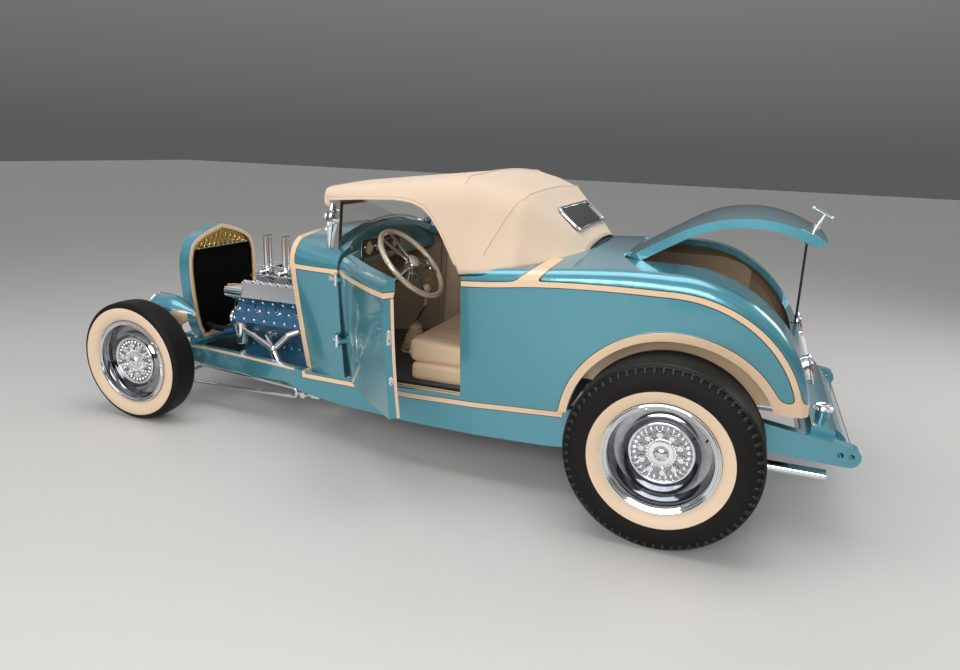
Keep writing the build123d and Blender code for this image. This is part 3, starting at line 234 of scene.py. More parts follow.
# %% [markdown]
# Effects that several finishes share are built once as node groups: a place measured from
# the car's own zero, a slow mottle that breaks a flat colour, smears that vary the gloss,
# and a fine grain for hide and rubber. Each gives out only a colour, a value or a height;
# the shader that takes them stays in the material, where an exporter can read it.

# %% A group maker
FLOAT, COLOUR, VECTOR = "NodeSocketFloat", "NodeSocketColor", "NodeSocketVector"
A_PLACE = ("Place", VECTOR, None)


def new_group(name, inputs, outputs):
    """An empty shader group. inputs: name, socket kind, default; outputs: name, kind."""
    made = bpy.data.node_groups.new(name, "ShaderNodeTree")
    for label, kind, default in inputs:
        socket = made.interface.new_socket(label, in_out="INPUT", socket_type=kind)
        if default is not None:
            socket.default_value = default
    for label, kind in outputs:
        made.interface.new_socket(label, in_out="OUTPUT", socket_type=kind)
    entry = made.nodes.new("NodeGroupInput")
    leave = made.nodes.new("NodeGroupOutput")
    return made, entry.outputs, leave


def place_group(tree, group, **values):
    """The group as a node in tree, its inputs set from values or linked from sockets."""
    return add_node(tree, "ShaderNodeGroup", node_tree=group, **values)


def textured(tree, entry, kind, **settings):
    """A texture at the group's Place, whose features are as large as its Size."""
    scale = sum_of(tree, "DIVIDE", 1.0, entry["Size"])
    return add_node(tree, kind, Vector=entry["Place"], Scale=scale, **settings).outputs


# %% Place on the car
car_place, _, car_out = new_group("car place", [], [("Place", VECTOR)])
object_place = add_node(car_place, "ShaderNodeTexCoord")
car_shift = add_node(car_place, "ShaderNodeVectorMath", operation="SUBTRACT",
                     Vector=object_place.outputs["Object"])
car_shift.inputs[1].default_value = CAR
put(car_place, car_out, Place=car_shift.outputs[0])


def on_car(tree):
    """The socket of a place in car coordinates."""
    return place_group(tree, car_place).outputs["Place"]


# %% Mottle and smears
mottle, mottle_in, mottle_out = new_group(
    "mottle",
    [A_PLACE, ("Base", COLOUR, (1, 1, 1, 1)), ("Size", FLOAT, 0.1), ("Depth", FLOAT, 0.1)],
    [("Colour", COLOUR)],
)
mottle_noise = textured(mottle, mottle_in, "ShaderNodeTexNoise", Detail=3.0)
shade = sum_of(mottle, "SUBTRACT", mottle_noise["Fac"], 0.5)
shade = sum_of(mottle, "MULTIPLY_ADD", shade, mottle_in["Depth"], 1.0)
mottle_mix = add_node(mottle, "ShaderNodeVectorMath", operation="SCALE",
                      Vector=mottle_in["Base"], Scale=shade)
put(mottle, mottle_out, Colour=mottle_mix.outputs[0])

smears, smears_in, smears_out = new_group(
    "smears",
    [A_PLACE, ("Least", FLOAT, 0.1), ("Most", FLOAT, 0.3), ("Size", FLOAT, 0.1)],
    [("Roughness", FLOAT)],
)
smears_noise = textured(smears, smears_in, "ShaderNodeTexNoise", Detail=2.0)
smears_span = ranged(smears, smears_noise["Fac"], 0.2, 0.8, To_Min=smears_in["Least"],
                     To_Max=smears_in["Most"])
put(smears, smears_out, Roughness=smears_span)

# %% Grain and weave
grain, grain_in, grain_out = new_group(
    "grain", [A_PLACE, ("Size", FLOAT, 0.004)], [("Height", FLOAT)])
grain_cells = textured(grain, grain_in, "ShaderNodeTexVoronoi", feature="DISTANCE_TO_EDGE")
grain_lift = sum_of(grain, "MULTIPLY", grain_cells["Distance"], 4.0, clamp=True)
put(grain, grain_out, Height=grain_lift)

weave, weave_in, weave_out = new_group(
    "weave", [A_PLACE, ("Thread", FLOAT, 0.0012)], [("Height", FLOAT)])
weave_place = split(weave, weave_in["Place"])
weave_turns = sum_of(weave, "DIVIDE", math.pi, weave_in["Thread"])
warp = sum_of(weave, "MULTIPLY", weave_place["X"], weave_turns)
across_sum = sum_of(weave, "ADD", weave_place["Y"], weave_place["Z"])
weft = sum_of(weave, "MULTIPLY", across_sum, weave_turns)
warp_wave = sum_of(weave, "SINE", warp)
weft_wave = sum_of(weave, "SINE", weft)
weave_high = sum_of(weave, "MULTIPLY", warp_wave, weft_wave)
put(weave, weave_out, Height=sum_of(weave, "MULTIPLY_ADD", weave_high, 0.5, 0.5))
print("groups:", [g.name for g in bpy.data.node_groups])

# %% [markdown]
# Most finishes are one Principled shader with a mottled colour, a smeared gloss and a fine
# bump. A single function makes them, and the differences are its arguments. Sockets that
# are the same all over the surface are set on the shader itself and never linked.

# %% A finish
SMEAR_SIZE, BUMP_STRENGTH = 0.16, 0.6


def finish(name, colour, gloss=(0.2, 0.3), grain_size=None, bump=0.0, weave_thread=None,
           mottle_size=0.2, mottle_depth=0.1, **sockets):
    made, tree, shader = new_material(name)
    place = on_car(tree)
    shade = place_group(tree, mottle, Place=place, Base=(*colour, 1), Size=mottle_size,
                        Depth=mottle_depth)
    sheen = place_group(tree, smears, Place=place, Least=gloss[0], Most=gloss[1], Size=SMEAR_SIZE)
    put(tree, shader, Base_Color=shade.outputs["Colour"], Roughness=sheen.outputs["Roughness"],
        **sockets)
    if bump:
        source = (
            place_group(tree, weave, Place=place, Thread=weave_thread)
            if weave_thread
            else place_group(tree, grain, Place=place, Size=grain_size)
        )
        relief = add_node(tree, "ShaderNodeBump", Distance=bump, Strength=BUMP_STRENGTH,
                          Height=source.outputs["Height"])
        put(tree, shader, Normal=relief.outputs[0])
    return made


BLUE = (0.082, 0.318, 0.395)
BLUE_METALLIC = 0.45
CREAM = (0.86, 0.62, 0.40)
chrome = finish("chrome", (0.80, 0.81, 0.82), gloss=(0.03, 0.10), mottle_depth=0.05, Metallic=1.0)
engine_blue = finish("engine enamel", (0.007, 0.085, 0.180), gloss=(0.18, 0.34),
                     grain_size=0.006, bump=0.0003, Coat_Weight=0.6, Coat_Roughness=0.12)
rubber = finish("tyre rubber", (0.008, 0.007, 0.006), gloss=(0.46, 0.62), grain_size=0.004,
                bump=0.0003, mottle_depth=0.3, Specular_IOR_Level=0.18)
worn_rubber = finish("worn rubber", (0.016, 0.013, 0.012), gloss=(0.28, 0.40), mottle_depth=0.3,
                     Specular_IOR_Level=0.4)
whitewall = finish("cream sidewall", (0.80, 0.61, 0.43), gloss=(0.38, 0.52), mottle_depth=0.08)
canvas = finish("top canvas", (0.76, 0.59, 0.44), gloss=(0.80, 0.92), weave_thread=0.0016,
                bump=0.0007, mottle_size=0.35, mottle_depth=0.10, Sheen_Weight=0.25,
                Specular_IOR_Level=0.2)
hide = finish("seat hide", (0.88, 0.66, 0.44), gloss=(0.42, 0.58), grain_size=0.0035,
              bump=0.0005, mottle_depth=0.10)
carpet = finish("cut pile carpet", (0.014, 0.013, 0.013), gloss=(0.9, 1.0), grain_size=0.004,
                bump=0.002, Sheen_Weight=0.3)
black_satin = finish("black satin", (0.012, 0.012, 0.013), gloss=(0.3, 0.45))
dark_gloss = finish("dark gloss", (0.006, 0.006, 0.007), gloss=(0.05, 0.14), Coat_Weight=0.8)
bright_steel = finish("bright steel", (0.50, 0.50, 0.51), gloss=(0.2, 0.34), Metallic=1.0)
plain_blue = finish("metallic blue", BLUE, gloss=(0.24, 0.32), mottle_depth=0.08,
                    Metallic=BLUE_METALLIC, Coat_Weight=1.0, Coat_Roughness=0.04)
plain_cream = finish("cream enamel", CREAM, gloss=(0.25, 0.35), mottle_depth=0.05,
                     Coat_Weight=0.8, Coat_Roughness=0.06)
red_lens = finish("red lens", (0.45, 0.01, 0.01), gloss=(0.06, 0.12), Coat_Weight=1.0)
deep_black = finish("deep black", (0.003, 0.003, 0.003), gloss=(0.8, 0.95), Specular_IOR_Level=0.1)
dark_pane = finish("dark pane", (0.006, 0.007, 0.007), gloss=(0.08, 0.14), Specular_IOR_Level=0.3)
# plating darkened and blotched to paint the dish's own reflection on the wheel's steps
reflection_painted_plating = finish("plating with painted dish reflections", (0.30, 0.31, 0.33), gloss=(0.04, 0.10), mottle_size=0.03,
                    mottle_depth=0.8, Metallic=1.0)
glass, glass_tree, glass_shader = new_material("clear glass")
put(glass_tree, glass_shader, Base_Color=(0.93, 0.97, 0.96, 1), Roughness=0.02, IOR=1.45,
    Transmission_Weight=1.0)
print(len(bpy.data.materials), "finishes")

# %% [markdown]
# The body is painted in two colours that meet at raised beads. A flat picture could carry
# the bands, but it would need unwrapping; here each band is a distance field worked out
# from the place on the car: height over the belt line, reach from the wheel's centre,
# height over the sill and length behind the cowl's front edge. Where every distance is
# positive the paint is blue, elsewhere it is cream, and a smooth minimum of two fields
# gives the rounded corners where bands meet.

# %% Height over the belt line
BELT_LINE = ((0.48, 0.885), (0.17, 0.893), (-0.46, 0.915), (-0.95, 0.957), (-1.30, 0.961))
BELT_X, BELT_Z = (-1.5, 0.6), (0.85, 1.0)
TAIL_CENTRE = (-1.30, 0.50)
TAIL_BELT_R, TAIL_BELT_SPREAD, TAIL_BELT_EASE = 0.461, 0.069, 1.5


def reach_of(tree, x, z):
    """How far a place is from the zero of x and z."""
    square = sum_of(tree, "MULTIPLY", x, x)
    return sum_of(tree, "POWER", sum_of(tree, "MULTIPLY_ADD", z, z, square), 0.5)


belt, belt_in, belt_out = new_group("belt height", [A_PLACE], [("Height", FLOAT)])
belt_sum = partial(sum_of, belt)
belt_place = split(belt, belt_in["Place"])
belt_share = ranged(belt, belt_place["X"], *BELT_X)
belt_curve = add_node(belt, "ShaderNodeFloatCurve", Value=belt_share)
curve = belt_curve.mapping.curves[0]
for x, z in sorted(BELT_LINE):
    share = ((x - BELT_X[0]) / (BELT_X[1] - BELT_X[0]), (z - BELT_Z[0]) / (BELT_Z[1] - BELT_Z[0]))
    if x == BELT_LINE[-1][0]:
        curve.points[0].location = share
    elif x == BELT_LINE[0][0]:
        curve.points[-1].location = share
    else:
        curve.points.new(*share)
belt_curve.mapping.update()
belt_line = belt_sum("MULTIPLY_ADD", belt_curve.outputs[0], BELT_Z[1] - BELT_Z[0], BELT_Z[0])
front_height = belt_sum("SUBTRACT", belt_place["Z"], belt_line)
tail_x = belt_sum("SUBTRACT", TAIL_CENTRE[0], belt_place["X"])
tail_z = belt_sum("SUBTRACT", belt_place["Z"], TAIL_CENTRE[1])
tail_turn = belt_sum("ARCTAN2", tail_z, tail_x)
tail_reach = reach_of(belt, tail_x, tail_z)
tail_share = belt_sum("MULTIPLY_ADD", tail_turn, -2 / math.pi, 1.0)
tail_share = belt_sum("POWER", belt_sum("MAXIMUM", tail_share, 0.0), TAIL_BELT_EASE)
tail_belt = belt_sum("MULTIPLY_ADD", tail_share, TAIL_BELT_SPREAD, TAIL_BELT_R)
tail_height = belt_sum("SUBTRACT", tail_reach, tail_belt)
in_tail = belt_sum("GREATER_THAN", tail_x, 0.0)
belt_step = belt_sum("SUBTRACT", tail_height, front_height)
put(belt, belt_out, Height=belt_sum("MULTIPLY_ADD", in_tail, belt_step, front_height))
print("belt line through", len(BELT_LINE), "places and round the tail")

# %% The two-colour fields
BAND = 0.025
ARCH_BAND_R = 0.445
REAR_AXLE = (-1.346, 0.361)
SILL_AT_COWL, SILL_SLOPE, COWL_FRONT = 0.296, -0.0543, 0.480
SILL_AT_ZERO = SILL_AT_COWL - SILL_SLOPE * COWL_FRONT
COWL_BAND_TOP, COWL_BAND_GROWS, COWL_BAND_AT = 0.036, 0.026, 0.9
NOSE_AT, NOSE_WAY = (-0.795, 0.955), (-0.756, -0.655)
STRIP_AT, STRIP_WAY = (-0.715, 0.955), (0.634, 0.773)
TAIL_CREAM_TOP, TAIL_CREAM_FRONT = 0.566, -1.35
LINE_HALF = 0.0016
BEAD_HALF = 0.004
FIELDS = [("Blue", FLOAT), ("Line", FLOAT), ("Height", FLOAT)]

paint, paint_in, paint_out = new_group("two colour fields", [A_PLACE], FIELDS)
paint_sum = partial(sum_of, paint)
at = split(paint, paint_in["Place"])
over_belt = place_group(paint, belt, Place=paint_in["Place"]).outputs["Height"]


def past_line(start, way):
    """Distance beyond a slanted line through start, in the direction way."""
    shifted = paint_sum("MULTIPLY", paint_sum("SUBTRACT", at["X"], start[0]), way[0])
    return paint_sum("MULTIPLY_ADD", paint_sum("SUBTRACT", at["Z"], start[1]), way[1], shifted)


def joined(field, *others):
    """The least of several fields; each other one comes with the softness of its corner."""
    for other, soft in others:
        field = paint_sum("SMOOTH_MIN", field, other, soft)
    return field


under_belt = paint_sum("SUBTRACT", -BAND, over_belt)
wheel_x = paint_sum("SUBTRACT", at["X"], REAR_AXLE[0])
wheel_z = paint_sum("SUBTRACT", at["Z"], REAR_AXLE[1])
past_arch = paint_sum("SUBTRACT", reach_of(paint, wheel_x, wheel_z), ARCH_BAND_R)
sill_line = paint_sum("MULTIPLY_ADD", at["X"], SILL_SLOPE, SILL_AT_ZERO + BAND)
over_sill = paint_sum("SUBTRACT", at["Z"], sill_line)
cowl_edge = paint_sum("MULTIPLY_ADD", at["Z"], COWL_BAND_GROWS,
                      COWL_FRONT - COWL_BAND_TOP - COWL_BAND_GROWS * COWL_BAND_AT)
past_cowl_band = paint_sum("SUBTRACT", cowl_edge, at["X"])
side_field = joined(under_belt, (past_arch, 0.06), (over_sill, 0.05), (past_cowl_band, 0.02))
over_tail = paint_sum("MAXIMUM", paint_sum("SUBTRACT", at["Z"], TAIL_CREAM_TOP),
                      paint_sum("SUBTRACT", at["X"], TAIL_CREAM_FRONT))
side_field = joined(side_field, (over_tail, 0.05))
deck_field = joined(over_belt, (past_line(NOSE_AT, NOSE_WAY), 0.03), (over_tail, 0.05))
strip_field = joined(over_belt, (past_line(STRIP_AT, STRIP_WAY), 0.02), (past_cowl_band, 0.02))
high_field = paint_sum("MAXIMUM", deck_field, strip_field)
field = paint_sum("MAXIMUM", side_field, high_field)


def blue_and_line(tree, leave, field):
    """Blue where the field is over zero, with the dark line along its edge."""
    put(tree, leave, Blue=sum_of(tree, "GREATER_THAN", field, 0.0))
    from_edge = sum_of(tree, "ABSOLUTE", field)
    put(tree, leave, Line=sum_of(tree, "LESS_THAN", from_edge, LINE_HALF))


def eased(value):
    """A smooth step from 0 to 1 as value passes zero."""
    return ranged(paint, value, -BEAD_HALF, BEAD_HALF, interpolation_type="SMOOTHSTEP")


blue_and_line(paint, paint_out, field)
put(paint, paint_out, Height=paint_sum("SUBTRACT", eased(high_field), eased(side_field)))
print("bands", BAND, "m wide with lines", 2 * LINE_HALF, "m wide")

# %% The band along the frame rails
RAIL_BAND_ENDS = (-0.920, 0.462)
BAND_FEET = ((0.450, 0.012), (-0.908, 0.0125))

rail_paint, rail_in, rail_out = new_group("rail field", [A_PLACE], FIELDS)
rail_sum = partial(sum_of, rail_paint)
rail_at = split(rail_paint, rail_in["Place"])
band_middle = rail_sum("MULTIPLY_ADD", rail_at["X"], SILL_SLOPE, SILL_AT_ZERO + BAND / 2)
over_middle = rail_sum("SUBTRACT", rail_at["Z"], band_middle)
rail_field = rail_sum("SUBTRACT", rail_sum("ABSOLUTE", over_middle), BAND / 2)
under_band = rail_sum("MULTIPLY", over_middle, -1.0)
for foot_x, foot_half in BAND_FEET:
    off_foot = rail_sum("ABSOLUTE", rail_sum("SUBTRACT", rail_at["X"], foot_x))
    off_foot = rail_sum("SUBTRACT", off_foot, foot_half)
    off_foot = rail_sum("MAXIMUM", off_foot, under_band)
    rail_field = rail_sum("MINIMUM", rail_field, off_foot)
past_rear_end = rail_sum("SUBTRACT", RAIL_BAND_ENDS[0], rail_at["X"])
past_front_end = rail_sum("SUBTRACT", rail_at["X"], RAIL_BAND_ENDS[1])
past_ends = rail_sum("MAXIMUM", past_rear_end, past_front_end)
rail_field = rail_sum("MAXIMUM", rail_field, past_ends)
blue_and_line(rail_paint, rail_out, rail_field)
put(rail_paint, rail_out, Height=rail_sum("LESS_THAN", rail_field, 0.0))
print("rail band from", RAIL_BAND_ENDS[0], "to", RAIL_BAND_ENDS[1])

# %% Inner faces of the shell
INNER_FROM, INNER_TO = 0.35, 0.55

inner_face, _, inner_out = new_group("inner face", [], [("Inside", FLOAT)])
inner_sum = partial(sum_of, inner_face)
facing = add_node(inner_face, "ShaderNodeTexCoord")
facing_way = split(inner_face, facing.outputs["Normal"])
inner_place = split(inner_face, on_car(inner_face))
which_side = inner_sum("SIGN", inner_place["Y"])
inward = inner_sum("MULTIPLY", facing_way["Y"], which_side)
inward = inner_sum("MULTIPLY", inward, -1.0)
downward = inner_sum("MULTIPLY", facing_way["Z"], -1.0)
turned_in = inner_sum("MAXIMUM", inward, downward)
put(inner_face, inner_out, Inside=ranged(inner_face, turned_in, INNER_FROM, INNER_TO))
# the hide colour of the inner faces is darkened as painted shade in the body paint
print("inner faces are trimmed in hide colour")

# %% Body paint
LINE_COLOUR = (0.055, 0.035, 0.025, 1)
# hide trim for the shell's inner faces, darkened as painted shade
HIDE_LINING_IN_SHADE = (0.36, 0.26, 0.17, 1)
BEAD_RISE = 0.0025
# the colour sockets of a Mix node have no names of their own
MIX_FIRST, MIX_SECOND, MIX_RESULT = 6, 7, 2


def mixed(tree, share, first, second):
    """A mix of two colours, each a socket or a fixed colour."""
    made = add_node(tree, "ShaderNodeMix", data_type="RGBA", Factor=share)
    for slot, entry in ((MIX_FIRST, first), (MIX_SECOND, second)):
        if isinstance(entry, bpy.types.NodeSocket):
            tree.links.new(entry, made.inputs[slot])
        else:
            made.inputs[slot].default_value = entry
    return made.outputs[MIX_RESULT]


def body_paint(name, hinge=None, opened=0.0, pattern=paint, inside_colour=HIDE_LINING_IN_SHADE):
    """Two-colour paint; a panel that rests open is measured as if it were shut."""
    made, tree, shader = new_material(name)
    place = on_car(tree)
    if hinge:
        place = add_node(tree, "ShaderNodeVectorRotate", rotation_type="Z_AXIS", Vector=place,
                         Center=(*hinge, 0), Angle=-math.radians(opened)).outputs[0]
    fields = place_group(tree, pattern, Place=place).outputs
    inside = place_group(tree, inner_face).outputs["Inside"]
    outside = sum_of(tree, "SUBTRACT", 1.0, inside)
    two_tone = mixed(tree, fields["Blue"], (*CREAM, 1), (*BLUE, 1))
    lined = mixed(tree, fields["Line"], two_tone, LINE_COLOUR)
    # inner faces take the inside colour: on the body this is hide darkened as painted shade, on the rails plain
    # blue
    trimmed = mixed(tree, inside, lined, inside_colour)
    shade = place_group(tree, mottle, Place=place, Size=0.3, Depth=0.08, Base=trimmed)
    metal = sum_of(tree, "MULTIPLY", fields["Blue"], BLUE_METALLIC)
    metal = sum_of(tree, "MULTIPLY", metal, outside)
    sheen = place_group(tree, smears, Place=place, Least=0.26, Most=0.29, Size=0.9)
    relief = add_node(tree, "ShaderNodeBump", Distance=BEAD_RISE, Strength=1.0,
                      Height=fields["Height"])
    put(tree, shader, Base_Color=shade.outputs["Colour"], Metallic=metal,
        Roughness=sheen.outputs["Roughness"], Normal=relief.outputs[0],
        Coat_Weight=outside, Coat_Roughness=0.03)
    return made


DOOR_HINGE_AT = (0.170, 0.616)
DOOR_OPENED = -38
two_colour = body_paint("two colour paint")
open_door_paint = body_paint("two colour paint on the open door", DOOR_HINGE_AT, DOOR_OPENED)
banded_rail = body_paint("blue paint with the rail's band", pattern=rail_paint, inside_colour=(*BLUE, 1))
print("body paint ready")

# %% Finishes for the frame's own nodes
LOOK_NODES = {
    carpet: ["floor", "bulkhead", "trunk_floor"],
    deep_black: ["radiator"],
    two_colour: ["cowl", "door_right", "quarter_left", "quarter_right"],
    open_door_paint: ["door_left"],
    banded_rail: ["sills", "frame_rail_left", "frame_rail_right"],
    hide: ["seat_base", "seat_cushion", "seat_back"],
    canvas: ["soft_top"],
    glass: ["windshield_glass"],
    dark_pane: ["rear_window"],
    black_satin: ["prop_rod"],
    engine_blue: ["engine_block", "cylinder_heads", "gearbox"],
    chrome: ["steering_wheel", "gear_lever"],
}
SLOT_LOOKS = {"paint_blue": plain_blue, "chrome": chrome, "tyre": rubber, "steel": bright_steel,
              "black_metal": black_satin, "hide": hide, "canvas": canvas, "glass": glass,
              "carpet": carpet}
node_looks = {name: look for look, names in LOOK_NODES.items() for name in names}
slot_of = {p["node"]: p.get("material_slot") for p in frame["record"]["subparts"]}
for name, node in nodes.items():
    look = node_looks.get(name) or SLOT_LOOKS[slot_of[name]]
    node.data.materials.clear()
    node.data.materials.append(look)
print("each of", len(nodes), "nodes has a finish")

# %% [markdown]
# Every piece from here on is built from the same few shapes: a profile turned about a line,
# a round bar along a path, rows of points skinned like planks on a hull, and a plate with
# eased edges. The lengths in them are the car's own, measured from its centreline on the
# floor, and the helper moves them to the frame's zero and seats each piece on its body.

# %% Seating a piece
X_WAY, Y_WAY, Z_WAY = Vector((1, 0, 0)), Vector((0, 1, 0)), Vector((0, 0, 1))


def seat(name, body, look, slot, *parts, crease=35):
    """One mesh of (places, faces) parts in car coordinates, which rides on a body."""
    places, faces = [], []
    for part_places, part_faces in parts:
        start = len(places)
        places += [CAR + Vector(place) for place in part_places]
        faces += [[start + index for index in face] for face in part_faces]
    mesh = bpy.data.meshes.new(name)
    mesh.from_pydata(places, [], faces)
    work = bmesh.new()
    work.from_mesh(mesh)
    bmesh.ops.remove_doubles(work, verts=work.verts, dist=1e-5)
    bmesh.ops.recalc_face_normals(work, faces=work.faces)
    work.to_mesh(mesh)
    work.free()
    mesh.shade_smooth()
    mesh.set_sharp_from_angle(angle=math.radians(crease))
    mesh.materials.append(look)
    made = bpy.data.objects.new(name, mesh)
    bpy.context.scene.collection.objects.link(made)
    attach(made, body)
    return made


# %% Turned shapes and skinned rows
def around(count, first=0.0):
    """Angles evenly spaced round a whole turn; first is a share of one space."""
    return [2 * math.pi * (number + first) / count for number in range(count)]


def skin(rows, ring=False):
    """Rows of places with the same count, joined by four-sided faces."""
    count = len(rows[0])
    places = [place for row in rows for place in row]
    faces = []
    for row in range(len(rows) - 1):
        for column in range(count if ring else count - 1):
            after = (column + 1) % count
            faces.append([row * count + column, row * count + after,
                          (row + 1) * count + after, (row + 1) * count + column])
    return places, faces


def capped(rows):
    """Rings skinned into one closed bar, with a flat face over each end."""
    places, faces = skin(rows, ring=True)
    count = len(rows[0])
    last = len(places) - count
    return places, faces + [list(range(count)), list(range(last, len(places)))]


def ring_at(middle, radius, first, second, turns):
    return [middle + radius * (math.cos(t) * first + math.sin(t) * second) for t in turns]


def turned(profile, centre, way, steps=64):
    """A profile of (radius, distance along) turned about the line through centre."""
    way = Vector(way).normalized()
    first = way.orthogonal().normalized()
    second = way.cross(first)
    turns = around(steps)
    return skin([ring_at(Vector(centre) + way * along, radius, first, second, turns)
                 for radius, along in profile], ring=True)


def turned_at(profile, centres, way, steps):
    """The same turned shape at each of several places."""
    return [turned(profile, centre, way, steps) for centre in centres]


def rod(path, radius, sides=10, closed=False):
    """A round bar along a path, its ends closed; closed=True joins the last place to the first."""
    path = [Vector(place) for place in path]
    count = len(path)
    rows, side, turns = [], None, around(sides)
    for index, place in enumerate(path):
        before = path[index - 1] if index or closed else place
        after = path[(index + 1) % count] if index < count - 1 or closed else place
        along = (after - before).normalized()
        side = along.orthogonal() if side is None else side - along * side.dot(along)
        side = side.normalized()
        rows.append(ring_at(place, radius, side, along.cross(side), turns))
    return skin([*rows, rows[0]], ring=True) if closed else capped(rows)


def tapered(path, radii, sides=10):
    """A round bar whose radius changes from place to place."""
    path = [Vector(place) for place in path]
    rows = []
    for index, (place, radius) in enumerate(zip(path, radii)):
        ahead = path[min(index + 1, len(path) - 1)] - path[max(index - 1, 0)]
        side = ahead.normalized().orthogonal().normalized()
        rows.append(ring_at(place, radius, side, ahead.normalized().cross(side), around(sides)))
    return capped(rows)


def lump(centre, along, across_way, outward, half_sizes, steps=(8, 5)):
    """A low rounded lump on three given half sizes."""
    rows = []
    for level in range(steps[1] + 1):
        tilt = math.pi * level / steps[1]
        rows.append([Vector(centre) + along * half_sizes[0] * math.sin(tilt) * math.cos(turn)
                     + across_way * half_sizes[1] * math.sin(tilt) * math.sin(turn)
                     + outward * half_sizes[2] * math.cos(tilt) for turn in around(steps[0])])
    return skin(rows, ring=True)


# %% Plates with eased edges, and arcs
def plate(outline, origin, u, v, thick, edge=0.0015):
    """A flat outline of (u, v) places pulled out by thick along u x v, its edges eased."""
    u, v, origin = Vector(u).normalized(), Vector(v).normalized(), Vector(origin)
    normal = u.cross(v)
    middle = Vector((sum(p[0] for p in outline), sum(p[1] for p in outline))) / len(outline)
    rows = []
    for height, draw_in in ((0, edge), (edge, 0), (thick - edge, 0), (thick, edge)):
        row = []
        for p in outline:
            reach = Vector(p) - middle
            p = middle + reach * max(1 - draw_in / max(reach.length, 1e-6), 0)
            row.append(origin + u * p[0] + v * p[1] + normal * height)
        rows.append(row)
    return capped(rows)


def oblong(half_u, half_v, corner, steps=5):
    """A rectangle's outline with round corners."""
    outline = []
    for quarter, (su, sv) in enumerate(((1, 1), (-1, 1), (-1, -1), (1, -1))):
        for step in range(steps + 1):
            turn = math.pi / 2 * (quarter + step / steps)
            outline.append((su * (half_u - corner) + corner * math.cos(turn),
                            sv * (half_v - corner) + corner * math.sin(turn)))
    return outline


def arc(first, through, last, count, lift=0.0):
    """Places along the circle through three places of a plane, moved out from it by lift."""
    (ax, ay), (bx, by), (cx, cy) = first, through, last
    d = 2 * (ax * (by - cy) + bx * (cy - ay) + cx * (ay - by))
    aa, bb, cc = ax * ax + ay * ay, bx * bx + by * by, cx * cx + cy * cy
    ux = (aa * (by - cy) + bb * (cy - ay) + cc * (ay - by)) / d
    uy = (aa * (cx - bx) + bb * (ax - cx) + cc * (bx - ax)) / d
    radius = math.hypot(ax - ux, ay - uy) + lift
    start, half, end = (math.atan2(y - uy, x - ux) for x, y in (first, through, last))
    span, half = (end - start) % math.tau, (half - start) % math.tau
    if half > span:
        span -= math.tau
    steps = [start + span * step / (count - 1) for step in range(count)]
    return [(ux + radius * math.cos(t), uy + radius * math.sin(t)) for t in steps]


def rounded(radius, level, half, turn, steps=8):
    """A round part of a profile about one place, through a half or whole turn."""
    turns = [turn * step / steps for step in range(steps + 1)]
    return [(radius + half * math.cos(t), level + half * math.sin(t)) for t in turns]


def raised(profile, by):
    """A profile moved along its axis."""
    return [(radius, along + by) for radius, along in profile]


print("shapes ready")

# %% [markdown]
# A whitewall is a band of pale rubber moulded into the tyre's outer side. Painting it by
# radius would need one material for each wheel, so here it is a thin skin on the tyre's
# own curve, less than a millimetre proud. The rear tyres also have a crust of small lugs
# round the shoulder, and fine ribs where the tread meets the side.

# %% Wheel sizes
# wall_r is the outer edge of the pale band
WheelSize = namedtuple("WheelSize", "rim_half dish tyre_half tyre_r shoulder wall_r")
WHEEL_SIZES = {
    "front": WheelSize(0.056, 0.004, 0.073, 0.314, 0.026, 0.2865),
    "rear": WheelSize(0.100, 0.009, 0.125, 0.368, 0.038, 0.270),
}
RIM_LIP_R = 0.219
TURNED_FINE = 112


def wheel_frame(wheel):
    """The wheel's middle in car coordinates, the way out from the car, and its sizes."""
    low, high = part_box(f"tyre_{wheel}")
    out = 1 if wheel.endswith("left") else -1
    return (low + high) / 2 - CAR, Vector((0, out, 0)), WHEEL_SIZES[wheel.split("_")[0]]


def spoke_and_ahead(turn):
    """The ways out from the wheel's centre and along its rim, at an angle."""
    return Vector((math.cos(turn), 0, math.sin(turn))), Vector((-math.sin(turn), 0, math.cos(turn)))


# %% Pale sidewalls
BAND_PROUD = 0.0009
BULGE_AT = 0.42
BAND_INNER_R = 0.2212
for wheel in WHEEL_NAMES:
    middle, out, size = wheel_frame(wheel)
    bulge_r = RIM_LIP_R + BULGE_AT * (size.tyre_r - RIM_LIP_R)
    side_curve = arc((BAND_INNER_R, size.rim_half - 0.0003), (bulge_r, size.tyre_half),
                     (size.tyre_r - size.shoulder, size.tyre_half - 0.004), 40, BAND_PROUD)
    band = [place for place in side_curve if place[0] < size.wall_r]
    inner, outer = band[0], band[-1]
    band = [(inner[0], inner[1] - 0.004), *band, (outer[0] + 0.0008, outer[1] - 0.002)]
    seat(f"pale_sidewall_{wheel}", wheel, whitewall, "tyre", turned(band, middle, out, TURNED_FINE))
print("pale sidewalls to", WHEEL_SIZES["front"].wall_r, "and", WHEEL_SIZES["rear"].wall_r, "m radius")

